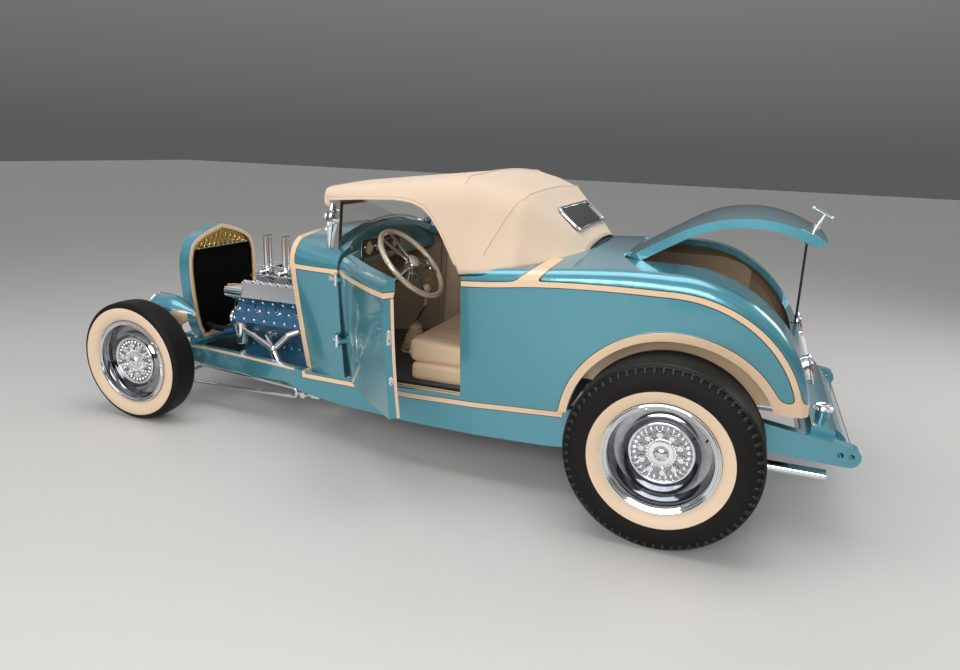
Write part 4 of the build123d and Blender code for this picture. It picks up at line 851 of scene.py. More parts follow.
# %% Shoulder lugs and ribs of the rear tyres
LUGS, LUG_TURN, LUG_SUNK = 66, math.radians(60), 0.0045
LUG_SIZES = (0.0088, 0.0145, 0.0065)
RIB_TURNS, RIB_HALF, RIB_SUNK = (16, 28, 40), 0.0016, 0.0006
for wheel in ("rear_left", "rear_right"):
    middle, out, size = wheel_frame(wheel)
    lugs = []
    for turn in around(LUGS):
        spoke, ahead = spoke_and_ahead(turn)
        for facing in (out, -out):
            lean = facing * math.sin(LUG_TURN) + spoke * math.cos(LUG_TURN)
            slope = spoke * math.sin(LUG_TURN) - facing * math.cos(LUG_TURN)
            shoulder_at = (middle + spoke * (size.tyre_r - size.shoulder)
                           + facing * (size.tyre_half - size.shoulder))
            place = shoulder_at + lean * (size.shoulder - LUG_SUNK)
            lugs.append(lump(place, ahead, slope, lean, LUG_SIZES))
    seat(f"shoulder_lugs_{wheel}", wheel, worn_rubber, "tyre", *lugs, crease=60)
    ribs = []
    for degrees in RIB_TURNS:
        across, along = math.cos(math.radians(degrees)), math.sin(math.radians(degrees))
        rib = rounded(size.tyre_r - size.shoulder + size.shoulder * across - RIB_SUNK,
                      size.tyre_half - size.shoulder + size.shoulder * along - RIB_SUNK,
                      RIB_HALF, 2 * math.pi)
        ribs += [turned(rib, middle, way, TURNED_FINE) for way in (out, -out)]
    seat(f"shoulder_ribs_{wheel}", wheel, worn_rubber, "tyre", *ribs)
print(LUGS, "lugs on each shoulder")

# %% [markdown]
# The wheels are plated steel with a deep dish. What the eye reads is a stack of bright
# rings with dark steps between them, then ten rounded nuts and a small cap. Plating in a
# deep dish reflects the dish itself, so the dark steps are a painted reflection: a darker,
# blotchy sheet a millimetre proud of the pressed steel. Each ring is a turned profile of its own.

# %% Rings, nuts, cap and valve
NUTS, NUT_RING_R, RING_R = 10, 0.076, 0.119
NUT_TURN = 0.25
# profiles of radius and distance out, these two from the rim's outer face
EDGE_BEAD = [(0.2185, 0.004), (0.2165, 0.0095), (0.2125, 0.011), (0.208, 0.009), (0.2055, 0.003)]
STEP_BEAD = [(0.2015, 0.001), (0.1995, 0.004), (0.196, 0.0025), (0.1945, -0.006), (0.194, -0.022)]
# and these from the bottom of the dish
CAP = [(0.030, 0.029), (0.030, 0.036), (0.027, 0.041), (0.018, 0.046), (0.009, 0.049), (0.0001, 0.050)]
FLANGE = [(0.058, 0.0265), (0.058, 0.031), (0.050, 0.034), (0.034, 0.0345), (0.030, 0.0345)]
NUT = [(0.0185, 0.0262), (0.0165, 0.030), (0.015, 0.038), (0.0105, 0.043), (0.0001, 0.0445)]
# the sheet that carries the painted dark reflection over the dish's steps
REFLECTION_SHEET = [(0.1812, 0.0042), (0.150, 0.0012), (0.1315, 0.0112), (0.1165, 0.0268), (0.108, 0.0290),
         (0.100, 0.0272), (0.090, 0.0300), (0.082, 0.0272), (0.072, 0.0292), (0.060, 0.0270)]
# rows of ornament: radius, height over the dish, half sizes
LUMP_ROWS = ((0.101, 0.029, (0.007, 0.0095, 0.006)), (0.053, 0.033, (0.0035, 0.009, 0.005)))
STEM_AT, STEM_R = Vector((-0.160, 0, 0.085)), 0.0042
for wheel in WHEEL_NAMES:
    middle, out, size = wheel_frame(wheel)
    hub_bead = rounded(RING_R, 0.0275, 0.0075, math.pi)
    profiles = [raised(profile, by) for profile, by in (
        (EDGE_BEAD, size.rim_half), (STEP_BEAD, size.rim_half), (hub_bead, size.dish),
        (FLANGE, size.dish), (CAP, size.dish))]
    nuts = []
    for turn in around(NUTS, NUT_TURN):
        spoke, _ = spoke_and_ahead(turn)
        nuts.append(turned(raised(NUT, size.dish), middle + spoke * NUT_RING_R, out, 18))
    for turn in around(3 * NUTS, NUT_TURN):
        spoke, ahead = spoke_and_ahead(turn)
        nuts += [lump(middle + spoke * radius + out * (size.dish + height), ahead, spoke, out, halves)
                 for radius, height, halves in LUMP_ROWS]
    rings = [turned(profile, middle, out, TURNED_FINE) for profile in profiles]
    seat(f"bright_rings_{wheel}", wheel, chrome, "chrome", *rings, *nuts)
    # painted reflection: a darker, blotchy sheet over the dish's steps
    reflection_sheet = [(0.1925, size.rim_half - 0.0215), (0.1812, 0.018), *raised(REFLECTION_SHEET, size.dish)]
    seat(f"dish_liner_{wheel}", wheel, reflection_painted_plating, "chrome", turned(reflection_sheet, middle, out, 96))
    stem = [middle + STEM_AT + out * (size.dish + height) for height in (0.001, 0.030, 0.044)]
    stem[-1] += Vector((0.006, 0, -0.003))
    seat(f"valve_{wheel}", wheel, black_satin, "tyre", rod(stem, STEM_R))
print(NUTS, "nuts, three bright rings and a cap on each wheel")

# %% [markdown]
# The folding top is one piece of padded cloth pulled tight over bows, so it is close to a
# ruled surface: straight along the car between the bows, rounded over the corners. A
# simulation would only soften creases that the real maker stretched out, so the cloth is
# skinned in rows from hem to hem. It sags a few millimetres between the bows, it is cut
# away over the doors, and it rolls in at the front over the header.

# %% Sections of the top
# place, hem half width, hem height, edge half width, edge height, corner half width,
# corner height, crown height
TOP_SECTIONS = [
    (0.276, 0.520, 1.186, 0.528, 1.210, 0.502, 1.248, 1.272),
    (0.000, 0.556, 1.120, 0.560, 1.222, 0.520, 1.278, 1.304),
    (-0.430, 0.648, 0.934, 0.590, 1.262, 0.528, 1.328, 1.352),
    (-0.560, 0.646, 0.950, 0.556, 1.244, 0.492, 1.300, 1.326),
    (-0.670, 0.616, 0.974, 0.514, 1.218, 0.448, 1.260, 1.278),
    (-0.850, 0.462, 1.000, 0.352, 1.084, 0.300, 1.106, 1.117),
    (-0.925, 0.340, 1.010, 0.230, 1.036, 0.160, 1.042, 1.050),
]
# place and height of the cut over the door, front to rear
DOOR_CUT = [(0.276, 1.196), (0.06, 1.214), (-0.11, 1.222), (-0.19, 1.216), (-0.24, 1.200),
            (-0.28, 1.172), (-0.318, 1.130), (-0.356, 1.078), (-0.40, 1.010), (-0.446, 0.944)]
TOP_FRONT, TOP_REAR, CUT_REAR = TOP_SECTIONS[0][0], TOP_SECTIONS[-1][0], DOOR_CUT[-1][0]


def between(table, x):
    """The row of a table at x, its rows sorted from front to rear, in straight steps."""
    if x >= table[0][0]:
        return table[0][1:]
    for ahead, behind in zip(table, table[1:]):
        if x >= behind[0]:
            share = (ahead[0] - x) / (ahead[0] - behind[0])
            return [a + (b - a) * share for a, b in zip(ahead[1:], behind[1:])]
    return table[-1][1:]


def line_at(points, x):
    """Height or half width on a line of (x, value) places, front to rear."""
    return between(points, x)[0]


def smooth_path(points, steps):
    """A soft curve through points, with steps places to each span."""
    ends = [2 * points[0] - points[1], *points, 2 * points[-1] - points[-2]]
    path = []
    for a, b, c, d in zip(ends, ends[1:], ends[2:], ends[3:]):
        for step in range(steps):
            t = step / steps
            path.append(0.5 * (2 * b + (c - a) * t + (2 * a - 5 * b + 4 * c - d) * t * t
                               + (3 * b - a - 3 * c + d) * t * t * t))
    return path + [points[-1]]


# %% Half a section, from crown to hem
TOP_COLUMNS = 34


def half_section(x):
    """Places (y, z) from the crown to the hem or the door cut, evenly spaced."""
    low_y, low, edge_y, edge, corner_y, corner, crown = between(TOP_SECTIONS, x)
    rise = crown - corner
    knots = [(0, crown), (corner_y * 0.35, crown - rise * 0.12), (corner_y * 0.72, crown - rise * 0.50),
             (corner_y, corner), (edge_y, edge),
             (edge_y + (low_y - edge_y) * 0.45, edge + (low - edge) * 0.45), (low_y, low)]
    line = smooth_path([Vector(knot) for knot in knots], 14)
    least = line_at(DOOR_CUT, x) if x > CUT_REAR else low
    kept = [line[0]]
    for ahead, behind in zip(line, line[1:]):
        if behind[1] < least:
            share = (ahead[1] - least) / max(ahead[1] - behind[1], 1e-9)
            kept.append(ahead + (behind - ahead) * share)
            break
        kept.append(behind)
    lengths = [0.0]
    for a, b in zip(kept, kept[1:]):
        lengths.append(lengths[-1] + (b - a).length)
    half, at = [], 0
    for column in range(TOP_COLUMNS + 1):
        want = lengths[-1] * column / TOP_COLUMNS
        while at < len(lengths) - 2 and lengths[at + 1] < want:
            at += 1
        share = (want - lengths[at]) / max(lengths[at + 1] - lengths[at], 1e-9)
        half.append(kept[at] + (kept[at + 1] - kept[at]) * share)
    return half


def mirrored(path):
    return [Vector((place[0], -place[1], place[2])) for place in path]


def both_sides(path, radius):
    """A bar on the left and its mirror image."""
    return [rod(path, radius), rod(mirrored(path), radius)]


def section_row(x, sag=0.0, back=0.0, drop=0.0):
    """A whole row of the top in car coordinates, from the left hem to the right one."""
    left = []
    for column, (y, z) in enumerate(half_section(x)):
        pull = 0.6 * sag * math.sin(math.pi * column / TOP_COLUMNS) ** 0.5
        left.append(Vector((x + back, max(y - pull, 0), z - pull - drop)))
    return left[::-1] + mirrored(left[1:])


# %% The cloth
BOW_ENDS = (TOP_FRONT, -0.430, -0.665, TOP_REAR)
SAG = 0.0025
ROW_STEP = 0.0172
CLOTH_THICK = 0.0022
# how the front edge rolls in over the header: place, back, drop
ROLLED_IN = ((0.270, -0.022, 0.034), (0.272, -0.004, 0.030), (0.274, 0.003, 0.020),
             (0.276, 0.002, 0.008))


def sag_at(x):
    """How far the cloth hangs at x: not at all on a bow, most half way between two."""
    spans = zip(BOW_ENDS, BOW_ENDS[1:])
    start, stop = next(span for span in spans if x > span[1] or span[1] == TOP_REAR)
    return SAG * math.sin(math.pi * min((start - x) / (start - stop), 1))


rows = [section_row(x, back=back, drop=drop) for x, back, drop in ROLLED_IN]
x = TOP_FRONT
while x > TOP_REAR - 0.0005:
    rows.append(section_row(x, sag=sag_at(x)))
    x -= ROW_STEP
cloth = seat("top_cloth", "root", canvas, "canvas", skin(rows), crease=70)
thickness = cloth.modifiers.new("thickness", "SOLIDIFY")
thickness.thickness = CLOTH_THICK
thickness.offset = -1
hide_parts("soft_top")


# %% Hem, cut edge, seams and bows
def on_top(x, column):
    """The place on the cloth at x, column places from the crown, on the left."""
    y, z = half_section(x)[column]
    return Vector((x, y, z))


def over_crown(path, radius):
    """A bar from a path's end on the left, over its first place, to the right."""
    return rod([*path[::-1], *mirrored(path)[1:]], radius)


HEM_PROUD = Vector((0, 0.0035, -0.001))
WELT_R, BINDING_R, SEAM_R, BOW_R = 0.0045, 0.0048, 0.0032, 0.009
SEAM_COLUMNS, BOW_COLUMNS = 22, 26
# place of each bow and how far it lies under the cloth
BOWS = ((0.252, 0.016), (-0.430, 0.013), (-0.655, 0.013))
hem_line = [on_top(CUT_REAR - 0.0155 * step, TOP_COLUMNS) for step in range(32)]
back_hem = [Vector((TOP_REAR - 0.0015, y, z)) for y, z in half_section(TOP_REAR)]
hem = [place + HEM_PROUD for place in smooth_path([*hem_line[::3], hem_line[-1]], 4)]
cut_line = [on_top(TOP_FRONT - 0.0226 * step, TOP_COLUMNS) for step in range(32)]
welts = [*both_sides(hem, WELT_R), over_crown(back_hem, WELT_R)]
seams = []
for bow_x in BOW_ENDS[1:3]:
    line = [Vector((bow_x, y, z + 0.001)) for y, z in half_section(bow_x)[:SEAM_COLUMNS]]
    seams.append(over_crown(line, SEAM_R))
quarter = [on_top(BOW_ENDS[2] + 0.125 * share, 20 + round(11 * share))
           for share in [s / 11 for s in range(12)]]
seams += both_sides(quarter, 0.0028)
welt_piece = seat("top_welt", "root", black_satin, "carpet", *welts)
binding_piece = seat("top_binding", "root", canvas, "canvas", *both_sides(cut_line, BINDING_R))
seam_piece = seat("top_seams", "root", canvas, "canvas", *seams)
bows = []
for bow_x, down in BOWS:
    line = [Vector((bow_x, y - 0.010, z - down)) for y, z in half_section(bow_x)[:BOW_COLUMNS]]
    line[0].y = 0
    bows.append(over_crown(line, BOW_R))
seat("top_bows", "root", black_satin, "black_metal", *bows)
print("hem, cut edge, seams and", len(bows), "bows")

# %% [markdown]
# The rear window is a dark oblong in a plated frame. The pane lies on the back of the top,
# and the frame is one closed bar round it.

# %% Rear window frame
WINDOW_AT, WINDOW_LEAN = Vector((-0.806, 0, 1.159)), math.radians(41.5)
WINDOW_HALF, WINDOW_CORNER, WINDOW_BAR_R = (0.2785, 0.0655), 0.026, 0.0072
window_up = Vector((math.cos(WINDOW_LEAN), 0, math.sin(WINDOW_LEAN)))
window_out = Vector((-math.sin(WINDOW_LEAN), 0, math.cos(WINDOW_LEAN)))
frame_path = [WINDOW_AT + Vector((0, u, 0)) + window_up * v + window_out * 0.002
              for u, v in oblong(*WINDOW_HALF, WINDOW_CORNER, 6)]
seat("rear_window_frame", "root", chrome, "chrome", rod(frame_path, WINDOW_BAR_R, closed=True))
print("rear window frame of", len(frame_path), "places")

# %% [markdown]
# The seat is three padded pieces. Each starts as an oblong with well rounded edges, is
# crowned, and gets sewn channels pressed in as creases between soft rolls; its sides pull
# in between the corners. The crown and the creases are moves on one fine skin, because a
# remesh would wash such narrow seams out.

# %% A padded piece
SEAM_SHARE, FRONT_CREASE, FRONT_CROWN, SIDE_PULL = 0.55, 0.9, 0.6, 0.006


def pad(name, low, high, round_by, crown, channel, rolls, cells=(44, 60, 14), lean=None):
    """A crowned pad between two corners, its top and front sewn in rolls across the car."""
    half = (Vector(high) - Vector(low)) / 2
    middle = (Vector(high) + Vector(low)) / 2

    def padded_place(c):
        """Where a place on the plain cube ends up."""
        core = Vector([max(min(c[a] * half[a], half[a] - round_by), round_by - half[a])
                       for a in range(3)])
        reach = Vector([c[a] * half[a] for a in range(3)]) - core
        reach = reach.normalized() if reach.length > 1e-9 else Vector((0, 0, 0))
        spot = core + reach * round_by
        u, v, w = (spot[a] / half[a] for a in range(3))
        roll = abs(math.cos(math.pi * rolls * (v + 1) / 2))
        crease = channel * (1 - min(roll / SEAM_SHARE, 1)) ** 2
        upper = max(reach.z, 0) + max(reach.x, 0) * FRONT_CREASE
        spot.z += crown * (1 - u * u) * (1 - v * v) * max(reach.z, 0)
        spot.x += crown * FRONT_CROWN * (1 - w * w) * (1 - v * v) * max(reach.x, 0)
        spot -= reach * crease * min(upper, 1)
        spot.y -= math.copysign(SIDE_PULL, v) * (1 - w * w) * (1 - u * u) * (abs(reach.y) > 0.7)
        spot += middle
        return lean(spot) if lean else spot

    parts = []
    for axis in range(3):
        first, second = [a for a in range(3) if a != axis]
        for face in (1, -1):
            rows = []
            for i in range(cells[first] + 1):
                row = []
                for j in range(cells[second] + 1):
                    c = [0.0, 0.0, 0.0]
                    c[axis] = face
                    c[first] = -math.cos(math.pi * i / cells[first])
                    c[second] = -math.cos(math.pi * j / cells[second])
                    if axis != 1:
                        c[1] = 2 * (j if second == 1 else i) / cells[1] - 1
                    row.append(padded_place(c))
                rows.append(row)
            parts.append(skin(rows))
    made = seat(name, "root", hide, "hide", *parts, crease=75)
    return made


# %% Seat base, cushion and back
SEAT_ROLLS = 13
PULL = 0.006
CUSHION_FALL = 0.026
# the back's rear and front faces at height BACK_FROM, and how far they move over BACK_TALL
BACK_FROM, BACK_TALL = 0.60, 0.34
BACK_REAR, BACK_FRONT, BACK_FOOT = (-0.918, 0.125), (-0.606, -0.080), -0.036
BACK_TAPER = 0.012


def node_corners(node, pull):
    """The node's corners in car coordinates, drawn in by pull."""
    low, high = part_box(node)
    inset = Vector((pull, pull, pull))
    return low - CAR + inset, high - CAR - inset


base_low, base_high = node_corners("seat_base", 0.001)
base_pad = pad("seat_base_cover", base_low, base_high, round_by=0.030, crown=0.0, channel=0.0,
               rolls=1, cells=(24, 30, 14))
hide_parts("seat_base")
cushion_low, cushion_high = node_corners("seat_cushion", PULL)
cushion_low.z = base_high.z - 0.004
cushion_high.z -= 0.006


def cushion_lean(spot):
    """The cushion falls towards the back, as its solid does."""
    share = (cushion_high.x - spot.x) / (cushion_high.x - cushion_low.x)
    lift = (spot.z - cushion_low.z) / (cushion_high.z - cushion_low.z)
    return Vector((spot.x, spot.y, spot.z - CUSHION_FALL * share * lift))


cushion_pad = pad("seat_cushion_cover", cushion_low, cushion_high, round_by=0.036, crown=0.008,
                  channel=0.0065, rolls=SEAT_ROLLS, lean=cushion_lean)
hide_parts("seat_cushion")
back_low, back_high = node_corners("seat_back", PULL)


def back_lean(spot):
    """The back lies against the bulkhead and leans away from the cushion as it rises."""
    lift = (spot.z - BACK_FROM) / BACK_TALL
    over, under = max(lift, 0), max(-lift, 0)
    front = (spot.x - back_low.x) / (back_high.x - back_low.x)
    rear_x = BACK_REAR[0] + BACK_REAR[1] * over
    front_x = BACK_FRONT[0] + BACK_FRONT[1] * over + BACK_FOOT * under
    return Vector((rear_x + (front_x - rear_x) * front, spot.y * (1 - BACK_TAPER * over), spot.z))


back_pad = pad("seat_back_cover", back_low, back_high, round_by=0.045, crown=0.010,
               channel=0.0075, rolls=SEAT_ROLLS, lean=back_lean)
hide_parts("seat_back")
print("seat of three pads,", SEAT_ROLLS, "rolls across")

# %% [markdown]
# The grille shell is pressed sheet, so its outline is one soft curve. The frame draws it in
# short straight steps; a painted skin less than a millimetre proud carries the true curve.
# Behind it come a cream flange, a thin gilt bead, a black wall round the core, and a gilt
# pressing that fills the arch over the core.

# %% The shell's outline and skin
SHELL_HALF = [(0.208, 0.3183), (0.248, 0.410), (0.274, 0.560), (0.284, 0.700), (0.276, 0.800),
              (0.240, 0.876), (0.150, 0.926), (0.0, 0.967)]
SHELL_BACK, SHELL_FRONT = 1.336, 1.404
CORE_TOP = 0.836
# place along the car and inset, row by row
SKIN_STEPS = [(SHELL_BACK + 0.0006, 0.002), (SHELL_BACK + 0.0020, -0.0008),
              (SHELL_FRONT - 0.004, -0.0008), (SHELL_FRONT + 0.0004, 0.0030),
              (SHELL_FRONT + 0.0006, 0.0210), (SHELL_FRONT - 0.003, 0.0246),
              (SHELL_FRONT - 0.010, 0.0246)]
FLANGE_STEPS = [(SHELL_BACK + 0.0008, 0.0015), (SHELL_BACK - 0.0016, 0.0040),
                (SHELL_BACK - 0.0016, 0.0225), (SHELL_BACK + 0.0010, 0.0250),
                (SHELL_BACK + 0.0090, 0.0252)]
WALL_STEPS = [(SHELL_BACK + 0.009, 0.0250), (SHELL_BACK + 0.0215, 0.0258)]
shell_half = smooth_path([Vector(p) for p in SHELL_HALF], 8)
SHELL_LINE = shell_half + [Vector((-p.x, p.y)) for p in shell_half[-2::-1]]


def shell_ring(x, inset):
    """The shell's closed outline at x, drawn in by inset."""
    ring, count = [], len(SHELL_LINE)
    for index, place in enumerate(SHELL_LINE):
        way = SHELL_LINE[(index + 1) % count] - SHELL_LINE[index - 1]
        inward = Vector((-way.y, way.x)).normalized()
        y, z = place + inward * inset
        ring.append(Vector((x, y, max(z, SHELL_HALF[0][1] + inset))))
    return ring


gilt = finish("gilt brass", (0.62, 0.42, 0.14), gloss=(0.12, 0.22), mottle_depth=0.2, Metallic=1.0)
for name, look, slot, steps in (
    ("grille_shell_skin", plain_blue, "paint_blue", SKIN_STEPS),
    ("grille_flange", plain_cream, "paint_blue", FLANGE_STEPS),
    ("grille_core_wall", deep_black, "black_metal", WALL_STEPS),
):
    seat(name, "root", look, slot, skin([shell_ring(x, inset) for x, inset in steps], ring=True))
grille_bead = rod(shell_ring(SHELL_BACK + 0.001, 0.0285), 0.0034, 8, True)
seat("grille_bead", "root", gilt, "chrome", grille_bead)
print("shell outline of", len(SHELL_LINE), "places")

# %% The gilt arch over the core
SCROLLS_EACH_SIDE, SCROLL_PITCH, SCROLL_HALF, SCROLL_BEAD_R = 5, 0.040, 0.015, 0.0022
FINS, FIN_PITCH, FIN_X, FIN_R = 31, 0.0156, 1.3565, 0.0016
CORE_FOOT, CORE_STRAIGHT, CORE_SLOPE = 0.345, 0.19, 2.2
arch = [(p.y, p.z) for p in shell_ring(0, 0.027) if p.z > CORE_TOP + 0.003]
arch_plate = plate(arch, (SHELL_BACK + 0.010, 0, 0), Y_WAY, Z_WAY, 0.004)
scrolls = []
for number in range(-SCROLLS_EACH_SIDE, SCROLLS_EACH_SIDE + 1):
    y = number * SCROLL_PITCH
    roof = min(shell_ring(0, 0.045), key=lambda p: (p.z < 0.8, abs(p.y - y)))
    reach = max((roof.z - CORE_TOP) / 2 - 0.004, 0.006)
    place = Vector((SHELL_BACK + 0.009, y, (CORE_TOP + roof.z) / 2))
    scrolls.append(lump(place, Y_WAY, Z_WAY, X_WAY, (SCROLL_HALF, reach, 0.006)))
    scrolls.append(rod([place + Vector((-0.003, 0.017 * math.cos(t), (reach + 0.003) * math.sin(t)))
                        for t in around(14)], SCROLL_BEAD_R, 6, True))
seat("grille_arch", "root", gilt, "chrome", arch_plate, *scrolls)
edge = rod([(SHELL_BACK + 0.008, -0.238, CORE_TOP), (SHELL_BACK + 0.008, 0.238, CORE_TOP)], 0.004)
seat("core_top_edge", "root", bright_steel, "chrome", edge)
fins = []
for number in range(FINS):
    y = (number - (FINS - 1) / 2) * FIN_PITCH
    low_z = CORE_FOOT + max(abs(y) - CORE_STRAIGHT, 0) * CORE_SLOPE
    fins.append(rod([(FIN_X, y, low_z), (FIN_X, y, CORE_TOP - 0.004)], FIN_R, 5))
seat("core_fins", "root", deep_black, "black_metal", *fins)
print("arch with", len(scrolls) // 2, "scrolls and", len(fins), "core fins")

# %% [markdown]
# Each headlamp is a bullet with a plated rim and a fluted lens in front, and a cream flash
# that runs back along its lower outer side to the tip, edged with a bright line. The flash
# is a patch of the bullet's own turned form, a hair proud.

# %% Headlamp trim
LAMP_AT = Vector((1.310, 0.430, 0.528))
LAMP_HALF = [(0.102, 0.091), (0.070, 0.092), (0.020, 0.088), (-0.040, 0.070), (-0.095, 0.038),
             (-0.135, 0.012), (-0.144, 0.0)]
LAMP_RIM = [(0.0905, 0.100), (0.0945, 0.104), (0.0945, 0.111), (0.090, 0.1155), (0.084, 0.1165),
            (0.0805, 0.1130)]
LAMP_LENS = [(0.0815, 0.1125), (0.070, 0.1160), (0.048, 0.1195), (0.024, 0.1212), (0.0001, 0.1216)]
FLASH_PROUD, FLASH_STEPS, FLASH_LINE_R = 0.0008, 6, 0.0020
FLASH_TURN, FLASH_HALF_TURN = math.radians(-28), math.radians(62)
FLASH_FRONT, FLASH_GROWS, FLASH_EASE = 0.030, 0.12, 0.7
lamp_curve = smooth_path([Vector(p) for p in LAMP_HALF], 10)
lens_clear = finish("fluted lens", (0.62, 0.66, 0.68), gloss=(0.04, 0.09), weave_thread=0.012,
                    bump=0.0008, mottle_depth=0.15, Coat_Weight=1.0, Metallic=0.6)


def lamp_flash(middle, outward):
    """Part of the bullet's skin, widening from its front edge to the tip."""
    rows = []
    for along, radius in lamp_curve:
        share = min(max((FLASH_FRONT - along) / FLASH_GROWS, 0), 1)
        if share <= 0:
            continue
        row = []
        for step in range(2 * FLASH_STEPS + 1):
            turn = FLASH_TURN + FLASH_HALF_TURN * share ** FLASH_EASE * (step / FLASH_STEPS - 1)
            spoke = Vector((0, outward * math.cos(turn), math.sin(turn)))
            row.append(middle + Vector((along, 0, 0)) + spoke * (max(radius, 0) + FLASH_PROUD))
        rows.append(row)
    return rows


for name, out in SIDES:
    middle = Vector((LAMP_AT.x, out * LAMP_AT.y, LAMP_AT.z))
    seat(f"lamp_rim_{name}", "root", chrome, "chrome", turned(LAMP_RIM, middle, X_WAY, 56))
    seat(f"lamp_lens_{name}", "root", lens_clear, "glass", turned(LAMP_LENS, middle, X_WAY, 56))
    flash = lamp_flash(middle, out)
    seat(f"lamp_flash_{name}", "root", plain_cream, "paint_blue", skin(flash))
    border = [row[-1] for row in flash]
    seat(f"lamp_line_{name}", "root", chrome, "chrome", rod(border[:-2], FLASH_LINE_R, 6))
print("two lamps trimmed")

# %% [markdown]
# A cream strip follows the top of each rail from the grille back to the cowl, a painted
# highlight along the rail's rounded top, and bright treads lie on the sills under the doors.
# Both are thin bent strips, skinned along the same points as the rail.

# %% Rail top highlights and sill treads
RAIL_TOP = [(1.345, 0.313), (1.000, 0.325), (0.660, 0.330), (0.500, 0.331)]
RAIL_OUTER = [(1.700, 0.362), (1.200, 0.366), (0.450, 0.492)]
# section of the cream strip that paints the highlight along each rail's top
RAIL_HIGHLIGHT_SECTION = ((-0.016, 0.0004), (-0.015, 0.0016), (0.0002, 0.0018), (0.0012, 0.0006),
             (0.0010, -0.0065))
SILL_AT = [(0.168, 0.553), (-0.456, 0.622)]
SILL_TOP = [(0.168, 0.3610), (-0.456, 0.3948)]
TREADS = ((0.010, 0.011), (0.037, 0.009))


def strip_along(out, widths, heights, section, start, pitch, count):
    """A strip of a given section laid along a line of half widths and heights."""
    rows = []
    for x in [start - step * pitch for step in range(count)]:
        y, z = line_at(widths, x), line_at(heights, x)
        rows.append([Vector((x, out * (y + dy), z + dz)) for dy, dz in section])
    return skin(rows)


for name, out in SIDES:
    # painted highlight: a cream strip along the rail's top
    strip = strip_along(out, RAIL_OUTER, RAIL_TOP, RAIL_HIGHLIGHT_SECTION, start=1.334, pitch=0.0235, count=36)
    seat(f"rail_line_{name}", "root", plain_cream, "paint_blue", strip)
for name, out in SIDES:
    strips = []
    for inset, wide in TREADS:
        half = wide / 2
        section = [(dy - inset, dz) for dy, dz in (
            (-half, 0.0002), (0.002 - half, 0.0022), (half - 0.002, 0.0022), (half, 0.0002))]
        strips.append(strip_along(out, SILL_AT, SILL_TOP, section, start=0.162, pitch=0.0236, count=27))
    seat(f"sill_treads_{name}", "root", plain_cream, "hide", *strips)
print("rail lines done")

# %% [markdown]
# The windshield stands on two cast brackets, plated and full of small forms: a slim foot on
# the cowl, a swelling knuckle with clamp screws and a cap under the top's header. A tapered
# bar with lumps of different sizes reads like such a casting at any distance.

# %% Windshield brackets
# place, half width, height and radius up the bracket's spine
SPINE = [(0.266, 0.522, 0.932, 0.017), (0.262, 0.523, 0.950, 0.013), (0.260, 0.523, 0.990, 0.010),
         (0.255, 0.524, 1.035, 0.014), (0.251, 0.525, 1.075, 0.021), (0.247, 0.525, 1.115, 0.024),
         (0.243, 0.524, 1.150, 0.016), (0.240, 0.522, 1.180, 0.010)]
KNUCKLE_AT = (0.250, 0.523)
# lumps with clamp screws: ahead of the knuckle, outside it, height, radius
KNUCKLES = ((0.022, 0.008, 1.120, 0.013), (-0.022, 0.008, 1.098, 0.012), (0.0, 0.022, 1.085, 0.012),
            (0.018, 0.012, 1.060, 0.010), (-0.014, 0.014, 1.142, 0.011), (0.012, 0.004, 0.962, 0.010))
for name, out in SIDES:
    spine = [Vector((x, out * y, z)) for x, y, z, _ in SPINE]
    parts = [tapered(spine, [row[-1] for row in SPINE], 14),
             lump(spine[0], X_WAY, Y_WAY, Z_WAY, (0.030, 0.016, 0.009), (12, 6))]
    for dx, dy, z, r in KNUCKLES:
        place = Vector((KNUCKLE_AT[0] + dx, out * (KNUCKLE_AT[1] + dy), z))
        parts.append(lump(place, X_WAY, Y_WAY, Z_WAY, (r, r * 0.8, r * 1.15), (10, 6)))
        parts.append(rod([place, place + Vector((dx * 0.5, out * 0.012, 0.004))], r * 0.4, 6))
    seat(f"windshield_bracket_{name}", "root", chrome, "chrome", *parts)
print("two windshield brackets")

# %% [markdown]
# Doors carry what a hand meets: plated hinges on the front edge, a latch on the rear edge,
# a cream edge and a padded card inside. All of it is laid out with the door shut, then
# swung to where the door rests, because shut is how it is measured on a real car.

# %% Swinging door fittings
HINGE_POST = Vector((*DOOR_HINGE_AT, 0))
DOOR_FRONT, DOOR_REAR = 0.166, -0.454
OPEN_ANGLES = {"left": math.radians(DOOR_OPENED), "right": 0.0}
# height below zero, half width at the door's front and at its rear
SIDE_FORM = [(-0.36, 0.553, 0.622), (-0.50, 0.572, 0.636), (-0.62, 0.585, 0.645),
             (-0.74, 0.594, 0.651), (-0.84, 0.599, 0.654), (-0.90, 0.600, 0.655)]


def side_half(x, z):
    """The body side's half width at the door, a share between its front and its rear."""
    front, rear = between(SIDE_FORM, -z)
    return front + (rear - front) * (DOOR_FRONT - x) / (DOOR_FRONT - DOOR_REAR)


def on_door(name, place):
    """A place on the shut door, swung to where that door rests."""
    turn = Matrix.Rotation(OPEN_ANGLES[name], 3, "Z")
    place = turn @ (Vector(place) - HINGE_POST) + HINGE_POST
    return Vector((place.x, place.y if name == "left" else -place.y, place.z))


def door_part(name, part):
    """A finished (places, faces) part, swung with the door."""
    places, faces = part
    return [on_door(name, place) for place in places], faces


def quilted(rows, columns, roll_every, place_at):
    """Rows of a sewn sheet; place_at gets row, column, steps from the edge and share of a roll."""
    sheet = []
    for row in range(rows):
        line = []
        for column in range(columns):
            edge = min(row, rows - 1 - row, column, columns - 1 - column)
            roll = abs(math.sin(math.pi * column / roll_every))
            line.append(place_at(row, column, edge, roll))
        sheet.append(line)
    return sheet


# %% Door cards, edges, latches and hinges
CARD_IN, CARD_PROUD, CARD_ROLL = 0.0462, 0.0035, 0.003
# the edge strip's section: behind the door's rear edge, inside its outer face
EDGE_SECTION = ((0.0004, 0.046), (0.0014, 0.045), (0.0014, 0.034), (0.0004, 0.033))
